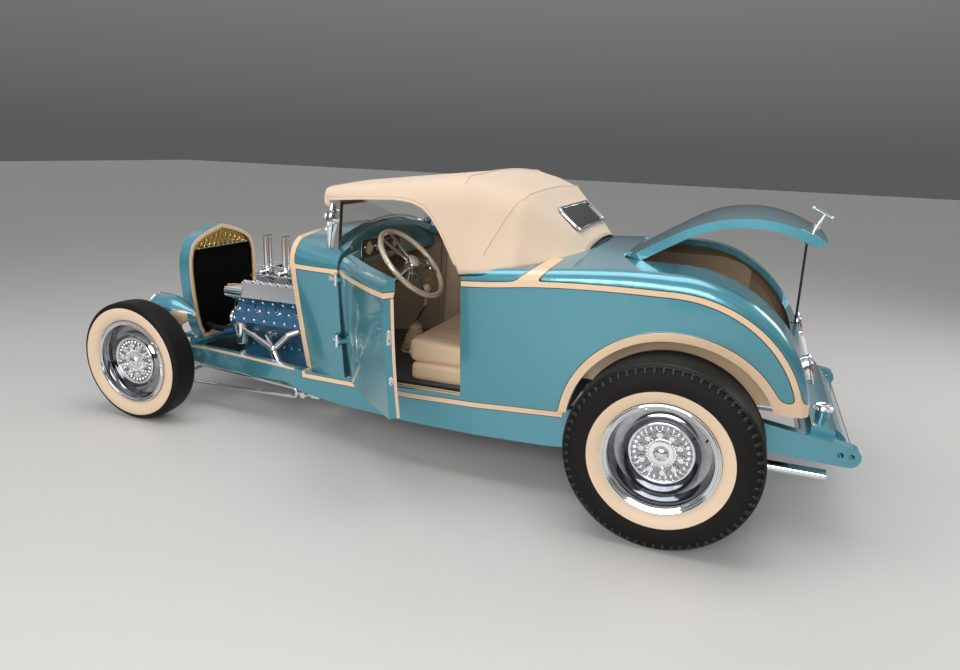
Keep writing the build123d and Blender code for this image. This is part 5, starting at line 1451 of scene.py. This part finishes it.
# latch plates: height, half height, thickness
LATCHES = ((0.735, 0.030, 0.0024), (0.560, 0.016, 0.0020))
BOLT = [(0.006, 0.0), (0.006, 0.0012), (0.004, 0.0020), (0.0001, 0.0022)]
BARREL = [(0.0001, -0.031), (0.006, -0.0305), (0.0093, -0.0285), (0.0093, 0.0285), (0.006, 0.0305),
          (0.0001, 0.031)]
LEAF, LEAF_X, HINGE_HEIGHTS = oblong(0.020, 0.0125, 0.006), 0.196, (0.560, 0.850)
card_hide = finish("door card hide", (0.68, 0.50, 0.34), gloss=(0.45, 0.6), grain_size=0.0035,
                   bump=0.0005, mottle_depth=0.12)


def card_place(row, column, edge, roll):
    x, z = 0.128 - column * 0.00985, 0.415 + row * 0.0285
    proud = CARD_PROUD * min(edge / 2, 1) + CARD_ROLL * roll * min(edge / 3, 1)
    return x, side_half(x, z) - CARD_IN - proud, z


card = skin(quilted(rows=17, columns=57, roll_every=7, place_at=card_place))
edge_rows = []
for z in [0.400 + row * 0.02035 for row in range(25)]:
    y = side_half(DOOR_REAR, z)
    edge_rows.append([(DOOR_REAR - back, y - inside, z) for back, inside in EDGE_SECTION])
latch = []
for z, half, thick in LATCHES:
    y = side_half(DOOR_REAR, z) - 0.021
    latch.append(plate(oblong(0.009, half, 0.006), (DOOR_REAR, y, z), Y_WAY, -Z_WAY, thick))
    latch.append(turned(BOLT, (DOOR_REAR - 0.0018, y, z - 0.012), -X_WAY, 14))
for name, out in SIDES:
    body = f"door_{name}"
    card_piece = seat(f"door_card_{name}", body, card_hide, "hide", door_part(name, card), crease=60)
    seat(f"door_edge_{name}", body, plain_cream, "paint_blue", door_part(name, skin(edge_rows)))
    seat(f"door_latch_{name}", body, chrome, "chrome", *[door_part(name, part) for part in latch])
    for number, z in enumerate(HINGE_HEIGHTS, 1):
        barrel = turned(BARREL, (HINGE_POST.x, out * HINGE_POST.y, z), Z_WAY, 20)
        leaf_y = side_half(DOOR_FRONT, z) + 0.0012
        leaf = plate(LEAF, (LEAF_X, out * leaf_y, z), (-out, 0, 0), Z_WAY, 0.0032)
        caps = [lump((LEAF_X + dx, out * (leaf_y + 0.0035), z), X_WAY, Z_WAY, Y_WAY,
                     (0.004, 0.004, 0.0024), (8, 4)) for dx in (-0.010, 0.010)]
        seat(f"cowl_hinge_{name}_{number}", "root", chrome, "chrome", barrel, leaf, *caps)
print("door cards, edges, latches and hinges")

# %% [markdown]
# The dashboard holds one dark oblong panel with round dials and a row of bright vertical
# bars. Each dial is a turned bezel with a dark face and a needle; nothing is lettered.

# %% Dash panel
DASH_AT, DASH_LEAN, DASH_THICK = Vector((0.2108, 0.120, 0.945)), 0.0244, 0.0035
DASH_OUTLINE = oblong(0.205, 0.048, 0.020)
# place of each dial along the panel, and its radius
DIALS = ((0.135, 0.036), (0.045, 0.026), (-0.135, 0.026))
DIAL_HUB = [(0.004, 0.002), (0.003, 0.005), (0.0001, 0.0055)]
BARS, BAR_FIRST, BAR_PITCH, BAR_HALF, BAR_R = 8, -0.030, 0.0105, 0.034, 0.0018
dash_up = Vector((-DASH_LEAN, 0, 1)).normalized()
dash_out = (-Y_WAY).cross(dash_up)


def on_dash(y, high, lift):
    return DASH_AT + Vector((0, y, 0)) + dash_up * high + dash_out * lift


panel = plate(DASH_OUTLINE, DASH_AT, -Y_WAY, dash_up, DASH_THICK)
seat("dash_panel", "root", dark_gloss, "black_metal", panel)
bright_parts, face_parts = [], []
for y, r in DIALS:
    middle = on_dash(y, 0, DASH_THICK)
    bezel = [(r, 0), (r, 0.004), (r - 0.003, 0.006), (r - 0.005, 0.0035)]
    needle = [on_dash(y, 0, 0.007), on_dash(y + r * 0.35, r * 0.5, 0.007)]
    bright_parts += [turned(bezel, middle, dash_out, 32), rod(needle, 0.0012, 6),
                     turned(DIAL_HUB, middle, dash_out, 12)]
    face_parts.append(turned([(r - 0.004, 0.002), (0.0001, 0.002)], middle, dash_out, 32))
for y in [BAR_FIRST - number * BAR_PITCH for number in range(BARS)]:
    bright_parts.append(rod([on_dash(y, -BAR_HALF, 0.0045), on_dash(y, BAR_HALF, 0.0045)], BAR_R, 6))
trim = rod([on_dash(-u, v, 0.003) for u, v in DASH_OUTLINE], 0.0028, 8, True)
seat("dash_bright_work", "root", chrome, "chrome", *bright_parts, trim)
seat("dial_faces", "root", plain_cream, "glass", *face_parts)
print("dash panel with", len(face_parts), "dials")

# %% [markdown]
# The steering wheel is pale moulded plastic on a steel core: finger grips behind the rim,
# three plated spokes, a plated half ring to press for the horn and a pale button. It is
# built flat in the wheel's own plane and rides on the wheel, so it turns with it.

# %% Steering wheel
HUB, COLUMN = Vector((-0.080, 0.350, 0.910)), Vector((0.73, 0, -0.683)).normalized()
STEER_R, RIM_BAR_R, HORN_R = 0.190, 0.0124, 0.112
GRIPS, GRIP_SIZES, GRIP_UNDER = 72, (0.0055, 0.0085, 0.0055), -0.0085
SPOKE_APART, SPOKE_R = 0.0062, 0.0036
BUTTON = [(0.034, 0.0165), (0.033, 0.021), (0.024, 0.027), (0.012, 0.0295), (0.0001, 0.030)]
BUTTON_RING = [(0.0375, 0.008), (0.0385, 0.015), (0.036, 0.0185), (0.0335, 0.0175)]
ivory = finish("ivory plastic", (0.80, 0.68, 0.50), gloss=(0.12, 0.22), mottle_depth=0.06,
               Coat_Weight=0.7, Coat_Roughness=0.05)
to_driver = -COLUMN
wheel_up = to_driver.cross(Y_WAY).normalized()
wheel_up *= math.copysign(1, wheel_up.z)


def in_wheel(radius, turn, lift=0.0):
    """A place in the steering wheel's plane; turn 0 is level, a quarter turn is up."""
    return HUB + radius * (math.cos(turn) * Y_WAY + math.sin(turn) * wheel_up) + to_driver * lift


grips = []
for turn in around(GRIPS):
    along = (in_wheel(STEER_R, turn + 0.01) - in_wheel(STEER_R, turn)).normalized()
    grips.append(lump(in_wheel(STEER_R, turn, GRIP_UNDER), along, along.cross(to_driver), to_driver,
                      GRIP_SIZES, (7, 4)))
rim_skin = rod([in_wheel(STEER_R, turn) for turn in around(96)], RIM_BAR_R, 12, True)
button = turned(BUTTON, HUB, to_driver, 32)
seat("steering_rim", "steering_wheel", ivory, "hide", rim_skin, *grips, button)
spokes = []
for number in range(3):
    turn = math.pi / 2 + number * 2 * math.pi / 3
    for shift in (-SPOKE_APART, SPOKE_APART):
        aside = (in_wheel(1, turn + math.pi / 2) - HUB) * shift
        spokes.append(rod([in_wheel(radius, turn, lift) + aside for radius, lift in (
            (0.030, 0.008), (0.110, 0.007), (0.182, 0.004))], SPOKE_R, 8))
ring = [in_wheel(HORN_R, math.pi * (1.06 + 0.88 * step / 32), 0.016) for step in range(33)]
spokes.append(rod(ring, 0.0034, 8))
for turn in (math.pi * 7 / 6, math.pi * 11 / 6):
    spokes.append(rod([in_wheel(0.026, turn, 0.018), in_wheel(HORN_R, turn, 0.016)], 0.003, 8))
spokes.append(turned(BUTTON_RING, HUB, to_driver, 32))
seat("steering_bright_work", "steering_wheel", chrome, "chrome", *spokes)
print("steering wheel with", len(grips), "finger grips")

# %% [markdown]
# The gear lever rises from a pleated hide boot. A boot is a bag of folds, so its profile
# swings in and out while it is turned, with radial gathers added to each fold.

# %% Boot and knob
BOOT_AT, BOOT_FOOT, BOOT_TALL = Vector((0.060, 0.040, 0)), 0.375, 0.150
BOOT_R, BOOT_NARROWS, FOLDS, FOLD_DEEP = 0.060, 0.034, 7, 0.0065
GATHERS, GATHER_DEEP = 14, 0.035
BOOT_LEAN = Vector((-0.016, 0.003, 0))
KNOB = [(0.0001, 0.0238), (0.012, 0.0215), (0.0205, 0.013), (0.0233, 0.0), (0.0205, -0.013),
        (0.010, -0.022)]
rows = []
for share in [level / 44 for level in range(45)]:
    fold = FOLD_DEEP * math.sin(share * FOLDS * 2 * math.pi) * (1 - share * 0.5)
    radius = BOOT_R - BOOT_NARROWS * share ** 1.5 + fold
    middle = BOOT_AT + BOOT_LEAN * share + Vector((0, 0, BOOT_FOOT + share * BOOT_TALL))
    row = []
    for turn in around(60):
        gather = 1 + GATHER_DEEP * math.sin(turn * GATHERS) * math.sin(math.pi * share)
        row.append(middle + radius * gather * Vector((math.cos(turn), math.sin(turn), 0)))
    rows.append(row)
rows.append([BOOT_AT + BOOT_LEAN + Vector((0, 0, 0.527))] * 60)
boot = seat("lever_boot", "root", hide, "hide", skin(rows, ring=True), crease=70)
knob = turned(KNOB, (-0.018, 0.052, 0.730), Z_WAY, 28)
seat("lever_knob", "root", ivory, "hide", knob)
print("boot of", len(rows), "rows")

# %% [markdown]
# The engine is open to view, so its top and left side are dressed: plated nuts over both
# heads, plugs with rigid plated conduits, a fuel pipe and levers beside the carburettors,
# clamps on the stacks, flanges on the headers, bolts along the pan and a filter canister.

# %% Engine fittings
CRANK, BANK_REACH, HEAD_T = Vector((0, 0, 0.320)), 0.226, 0.054
HEAD_NUT = [(0.0085, -0.001), (0.0085, 0.004), (0.007, 0.0085), (0.004, 0.0110), (0.0001, 0.0118)]
PLUG = [(0.0125, -0.001), (0.0125, 0.008), (0.008, 0.010), (0.008, 0.030), (0.0001, 0.031)]
NUT_ROWS, NUT_FIRST, NUT_PITCH = (-0.058, 0.0, 0.058), 0.606, 0.0674
PLUG_FIRST, PLUG_PITCH = 0.673, 0.1348
LOOM_OFF, LOOM_HIGH, LOOM_X = 0.070, 0.030, (0.650, 0.800, 0.950, 1.090)
bank_parts, plug_parts, lead_parts = [], [], []
for _, out in SIDES:
    bank = Vector((0, out * math.sqrt(0.5), math.sqrt(0.5)))
    across_bank = Vector((0, out * math.sqrt(0.5), -math.sqrt(0.5)))
    face = CRANK + bank * (BANK_REACH + HEAD_T)
    for row_at in NUT_ROWS:
        places = [face + X_WAY * (NUT_FIRST + number * NUT_PITCH) + across_bank * row_at
                  for number in range(0, 8, 1 if row_at else 2)]
        bank_parts += turned_at(HEAD_NUT, places, bank, 12)
    loom_at = face - across_bank * LOOM_OFF + bank * LOOM_HIGH
    for x in [PLUG_FIRST + number * PLUG_PITCH for number in range(4)]:
        place = face + X_WAY * x
        plug_parts.append(turned(PLUG, place, bank, 12))
        tip = place + bank * 0.030
        lead_parts.append(rod([tip, tip + bank * 0.016, tip + bank * 0.026 - across_bank * 0.022,
                               loom_at + X_WAY * x], 0.0042, 8))
    loom = [loom_at + X_WAY * x for x in LOOM_X]
    plug_parts.append(rod([*loom, loom[-1] + X_WAY * 0.030 - across_bank * 0.03], 0.008, 10))
seat("head_nuts", "root", chrome, "chrome", *bank_parts)
seat("plugs_and_looms", "root", chrome, "chrome", *plug_parts)
seat("plug_leads", "root", black_satin, "black_metal", *lead_parts)
print(len(bank_parts), "head nuts")

# %% Fuel pipe, levers and stack clamps
CARB_X = (0.765, 0.890, 1.015)
CLAMP = [(0.0125, -0.004), (0.0148, -0.003), (0.0148, 0.003), (0.0125, 0.004)]
FLOAT_BOWL = [(0.0001, -0.018), (0.016, -0.016), (0.021, -0.008), (0.021, 0.010), (0.015, 0.0155),
              (0.0001, 0.017)]
BOWL_NUT = [(0.007, 0), (0.007, 0.010), (0.0001, 0.011)]
BASE_NUT = [(0.0068, 0), (0.0068, 0.005), (0.004, 0.008), (0.0001, 0.0085)]
FUEL_GLASS = [(0.0001, -0.014), (0.010, -0.012), (0.011, 0.008), (0.0001, 0.009)]
VALLEY_NUT = [(0.0085, 0), (0.0085, 0.005), (0.005, 0.0085), (0.0001, 0.009)]
FUEL_PIPE = [(0.700, 0.106, 0.706), (0.765, 0.108, 0.706), (0.890, 0.108, 0.706),
             (1.015, 0.108, 0.706), (1.060, 0.104, 0.704), (1.085, 0.090, 0.694)]
LEVER_R = 0.0036


def to_side(out, *places):
    """Places given for the left side, on the left (out 1) or on the right (out -1)."""
    return [Vector((x, out * y, z)) for x, y, z in places]


top_parts, glass_parts = [], []
for x in CARB_X:
    clamps = [(x, y, z) for y in (-0.019, 0.019) for z in (0.752, 0.905)]
    top_parts += turned_at(CLAMP, clamps, Z_WAY, 20)
    for _, out in SIDES:
        top_parts.append(turned(FLOAT_BOWL, (x, out * 0.070, 0.712), Z_WAY, 20))
        top_parts.append(turned(BOWL_NUT, (x, out * 0.070, 0.729), Z_WAY, 10))
        feed = to_side(out, (x, 0.088, 0.706), (x, 0.106, 0.706), (x + 0.010, 0.106, 0.722))
        top_parts.append(rod(feed, LEVER_R, 8))
        base_at = to_side(out, (x - 0.030, 0.052, 0.696), (x + 0.030, 0.052, 0.696))
        top_parts += turned_at(BASE_NUT, base_at, Z_WAY, 8)
        glass_parts.append(turned(FUEL_GLASS, (x - 0.034, out * 0.094, 0.716), Z_WAY, 14))
    top_parts.append(rod([(x, -0.078, 0.738), (x, 0.078, 0.738)], LEVER_R, 8))
for _, out in SIDES:
    link = to_side(out, (0.690, 0.060, 0.752), (0.890, 0.060, 0.752), (1.060, 0.060, 0.752))
    valley = [(0.625 + number * 0.0565, out * 0.139, 0.668) for number in range(9)]
    top_parts += [rod(to_side(out, *FUEL_PIPE), 0.0055, 10), rod(link, LEVER_R, 8),
                  *turned_at(VALLEY_NUT, valley, Z_WAY, 10)]
seat("carburettor_fittings", "root", chrome, "chrome", *top_parts)
seat("fuel_bowls", "root", dark_gloss, "glass", *glass_parts)
print(len(top_parts), "fittings over the valley")

# %% Block side fittings
PAN_BOLT = [(0.0075, -0.004), (0.0075, 0.006), (0.0045, 0.009), (0.0001, 0.0095)]
HEADER_FLANGE = [(0.024, -0.004), (0.024, 0.004), (0.019, 0.008), (0.0001, 0.009)]
HEADER_AT = ((0.960, 0.428), (0.860, 0.436), (0.740, 0.440), (0.640, 0.444))
CANISTER = [(0.0001, -0.062), (0.030, -0.060), (0.036, -0.050), (0.036, 0.046), (0.039, 0.048),
            (0.039, 0.058), (0.030, 0.064), (0.008, 0.068), (0.0001, 0.070)]
OIL_PIPE = ((1.040, 0.232, 0.450), (1.010, 0.225, 0.480), (0.975, 0.200, 0.470))
HOSE = ((1.112, 0.100, 0.400), (1.180, 0.120, 0.372), (1.280, 0.150, 0.372), (1.356, 0.150, 0.385))
PUMP_NECK = ((1.125, 0.120, 0.400), (1.165, 0.150, 0.372), (1.215, 0.165, 0.360))
PULLEY = [(0.0001, 0.030), (0.018, 0.030), (0.022, 0.024), (0.056, 0.020), (0.060, 0.014),
          (0.050, 0.008), (0.060, 0.002), (0.056, -0.004), (0.020, -0.008), (0.0001, -0.008)]
PULLEY_BOLT = [(0.0062, 0), (0.0062, 0.005), (0.0001, 0.007)]
CRANK_PULLEY = [(0.0001, 0.034), (0.020, 0.034), (0.026, 0.026), (0.078, 0.022), (0.082, 0.014),
                (0.070, 0.007), (0.082, 0.000), (0.078, -0.006), (0.030, -0.010), (0.0001, -0.010)]
# the belt's bends: middle, half width, half height, degrees from, to and between places
BELT_BENDS = ((0.105, 0.440, 0.060, 0.054, -50, 101, 15), (-0.105, 0.440, 0.060, 0.054, 80, 231, 15),
              (0.0, 0.330, 0.074, 0.074, 200, 341, 20))
STARTER = [(0.0001, 0.0), (0.030, 0.002), (0.034, 0.010), (0.034, 0.120), (0.026, 0.128),
           (0.0001, 0.130)]
PUMP_X, PUMP_Y, PUMP_Z, FAN_BELT_X = 1.170, 0.105, 0.440, 1.177
side_parts, dark_parts, front_blue = [], [], []
for _, out in SIDES:
    bolts = [(0.610 + number * 0.052, out * 0.150, 0.318) for number in range(10)]
    flanges = [(x, out * 0.206, z) for x, z in HEADER_AT]
    side_parts += [*turned_at(PAN_BOLT, bolts, (0, out, 0), 8),
                   *turned_at(HEADER_FLANGE, flanges, (0, out * 0.8, -0.6), 18),
                   turned(CANISTER, (1.040, out * 0.232, 0.395), Z_WAY, 28),
                   rod(to_side(out, *OIL_PIPE), 0.006, 8)]
    dark_parts.append(rod(to_side(out, *HOSE), 0.019, 14))
for _, out in SIDES:
    front_blue.append(lump((1.140, out * 0.128, 0.415), X_WAY, Y_WAY, Z_WAY,
                           (0.034, 0.058, 0.062), (16, 8)))
    front_blue.append(rod(to_side(out, *PUMP_NECK), 0.020, 14))
    side_parts.append(turned(PULLEY, (PUMP_X, out * PUMP_Y, PUMP_Z), X_WAY, 36))
    bolts = [(1.192, out * PUMP_Y + 0.034 * math.cos(t), PUMP_Z + 0.034 * math.sin(t))
             for t in around(6)]
    side_parts += turned_at(PULLEY_BOLT, bolts, X_WAY, 8)
side_parts.append(turned(CRANK_PULLEY, (PUMP_X, 0, 0.330), X_WAY, 40))
belt_path = []
for y, z, wide, high, first, last, pitch in BELT_BENDS:
    turns = [math.radians(degrees) for degrees in range(first, last, pitch)]
    belt_path += [(FAN_BELT_X, wide * math.cos(t) + y, z + high * math.sin(t)) for t in turns]
dark_parts.append(rod(belt_path, 0.0055, 8, True))
seat("pumps", "root", engine_blue, "paint_blue", *front_blue)
# painted shade: a black sheet under the engine's front darkens the gap between the rails
shade_sheet = plate([(0.0, -0.300), (0.230, -0.300), (0.230, 0.300), (0.0, 0.300)], (1.118, 0, 0.262),
              X_WAY, Y_WAY, 0.004, 0.001)
seat("engine_shade_sheet", "root", black_satin, "black_metal", shade_sheet)
side_parts.append(turned(STARTER, (0.610, -0.185, 0.330), X_WAY, 24))
seat("block_bright_fittings", "root", chrome, "chrome", *side_parts)
seat("radiator_hoses", "root", black_satin, "black_metal", *dark_parts)
print(len(side_parts), "fittings on the block")

# %% [markdown]
# At the tail: plated bezels and dark red lenses on the slim lamps, and a turned cap with
# grips on the fuel filler.

# %% Tail lamps and filler cap
TAIL_LAMP, TAIL_LEAN = Vector((-1.838, 0.400, 0.662)), math.radians(14)
LENS_HALF_WIDE, LENS_HALF_TALL, HOOD_FOOT = 0.027, 0.058, 0.030
# share of the outline's size, and lift
LENS_RINGS = ((0.97, 0.0005), (0.94, 0.006), (0.80, 0.010), (0.55, 0.0125), (0.28, 0.0138),
              (0.001, 0.0142))
HOOD_RINGS = ((0.99, 0.004), (0.96, 0.010), (0.80, 0.0135))
BAR_LEVELS = (-0.020, 0.012, 0.030)
CAP_AT, CAP_GRIPS, CAP_GRIP_R = Vector((-1.911, 0.380, 0.513)), 20, 0.0355
FILLER = [(0.0345, -0.014), (0.0355, -0.010), (0.0355, 0.001), (0.031, 0.005), (0.018, 0.0078),
          (0.0001, 0.0085)]
HANDLE = ((-0.026, 0.008), (-0.012, 0.013), (0.012, 0.013), (0.026, 0.008))
lamp_out = Vector((-math.cos(TAIL_LEAN), 0, math.sin(TAIL_LEAN)))
lamp_up = Vector((math.sin(TAIL_LEAN), 0, math.cos(TAIL_LEAN)))


def tail_ring(middle, share, lift):
    return [middle + Y_WAY * LENS_HALF_WIDE * share * math.cos(t)
            + lamp_up * LENS_HALF_TALL * share * math.sin(t) + lamp_out * lift for t in around(40)]


def above_foot(middle, place):
    """The place itself on the hood, or the hood's foot straight above it."""
    under = HOOD_FOOT - (place - middle).dot(lamp_up)
    return place + lamp_up * max(under, 0)


for name, out in SIDES:
    middle = Vector((TAIL_LAMP.x, out * TAIL_LAMP.y, TAIL_LAMP.z))
    lens_rows = [tail_ring(middle, *ring) for ring in LENS_RINGS]
    seat(f"tail_lens_{name}", "root", red_lens, "glass", skin(lens_rows, ring=True))
    bezel = rod(tail_ring(middle, 1.0, 0.002), 0.0050, 10, True)
    bars = []
    for level in BAR_LEVELS:
        reach = LENS_HALF_WIDE * math.sqrt(max(1 - (level / LENS_HALF_TALL) ** 2, 0.05)) * 0.95
        path = [middle + lamp_up * level + Y_WAY * reach * u + lamp_out * (0.0138 - 0.006 * u * u)
                for u in (-1, -0.5, 0, 0.5, 1)]
        bars.append(rod(path, 0.0022, 6))
    hood = [[above_foot(middle, place) for place in tail_ring(middle, *ring)] for ring in HOOD_RINGS]
    seat(f"tail_bezel_{name}", "root", chrome, "chrome", bezel, *bars, skin(hood, ring=True))
handle = rod([CAP_AT + Vector((x, 0, z)) for x, z in HANDLE], 0.005, 8)
grips = [rod([CAP_AT + Vector((CAP_GRIP_R * math.cos(t), CAP_GRIP_R * math.sin(t), z))
              for z in (-0.010, 0.000)], 0.0022, 5) for t in around(CAP_GRIPS)]
seat("filler_cap", "root", chrome, "chrome", turned(FILLER, CAP_AT, Z_WAY, 40), handle, *grips)
print("tail fittings done")

# %% [markdown]
# The trunk is trimmed: dark felt below and pale hide on its side walls. The side trim is a
# sheet laid just inside the quarter's wall, sewn in wide rolls like the door cards.

# %% Trunk side trim
# place, belt half width of the body along the rear quarter
QUARTER_LINE = [(-0.95, 0.667), (-1.30, 0.664), (-1.50, 0.655), (-1.64, 0.638)]
TRIM_TOP, TRIM_IN, TRIM_LEAN, TRIM_PROUD = 0.935, 0.0465, 0.010 / 0.15, 0.004


def trim_place(row, column, edge, roll):
    x, z = -0.975 - column * 0.0128, 0.785 + row * 0.0125
    y = line_at(QUARTER_LINE, x) - TRIM_IN - TRIM_LEAN * (TRIM_TOP - z)
    return x, y - TRIM_PROUD * min(edge / 2, 1) * (0.4 + 0.6 * roll), z


trim_rows = quilted(rows=13, columns=49, roll_every=8, place_at=trim_place)
for name, out in SIDES:
    side_rows = [to_side(out, *row) for row in trim_rows]
    trim_piece = seat(f"trunk_trim_{name}", "root", card_hide, "hide", skin(side_rows), crease=60)
print("trunk trimmed")

# %% Close the scene
low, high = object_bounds()
print("visual box", [round(v, 3) for v in low], [round(v, 3) for v in high])
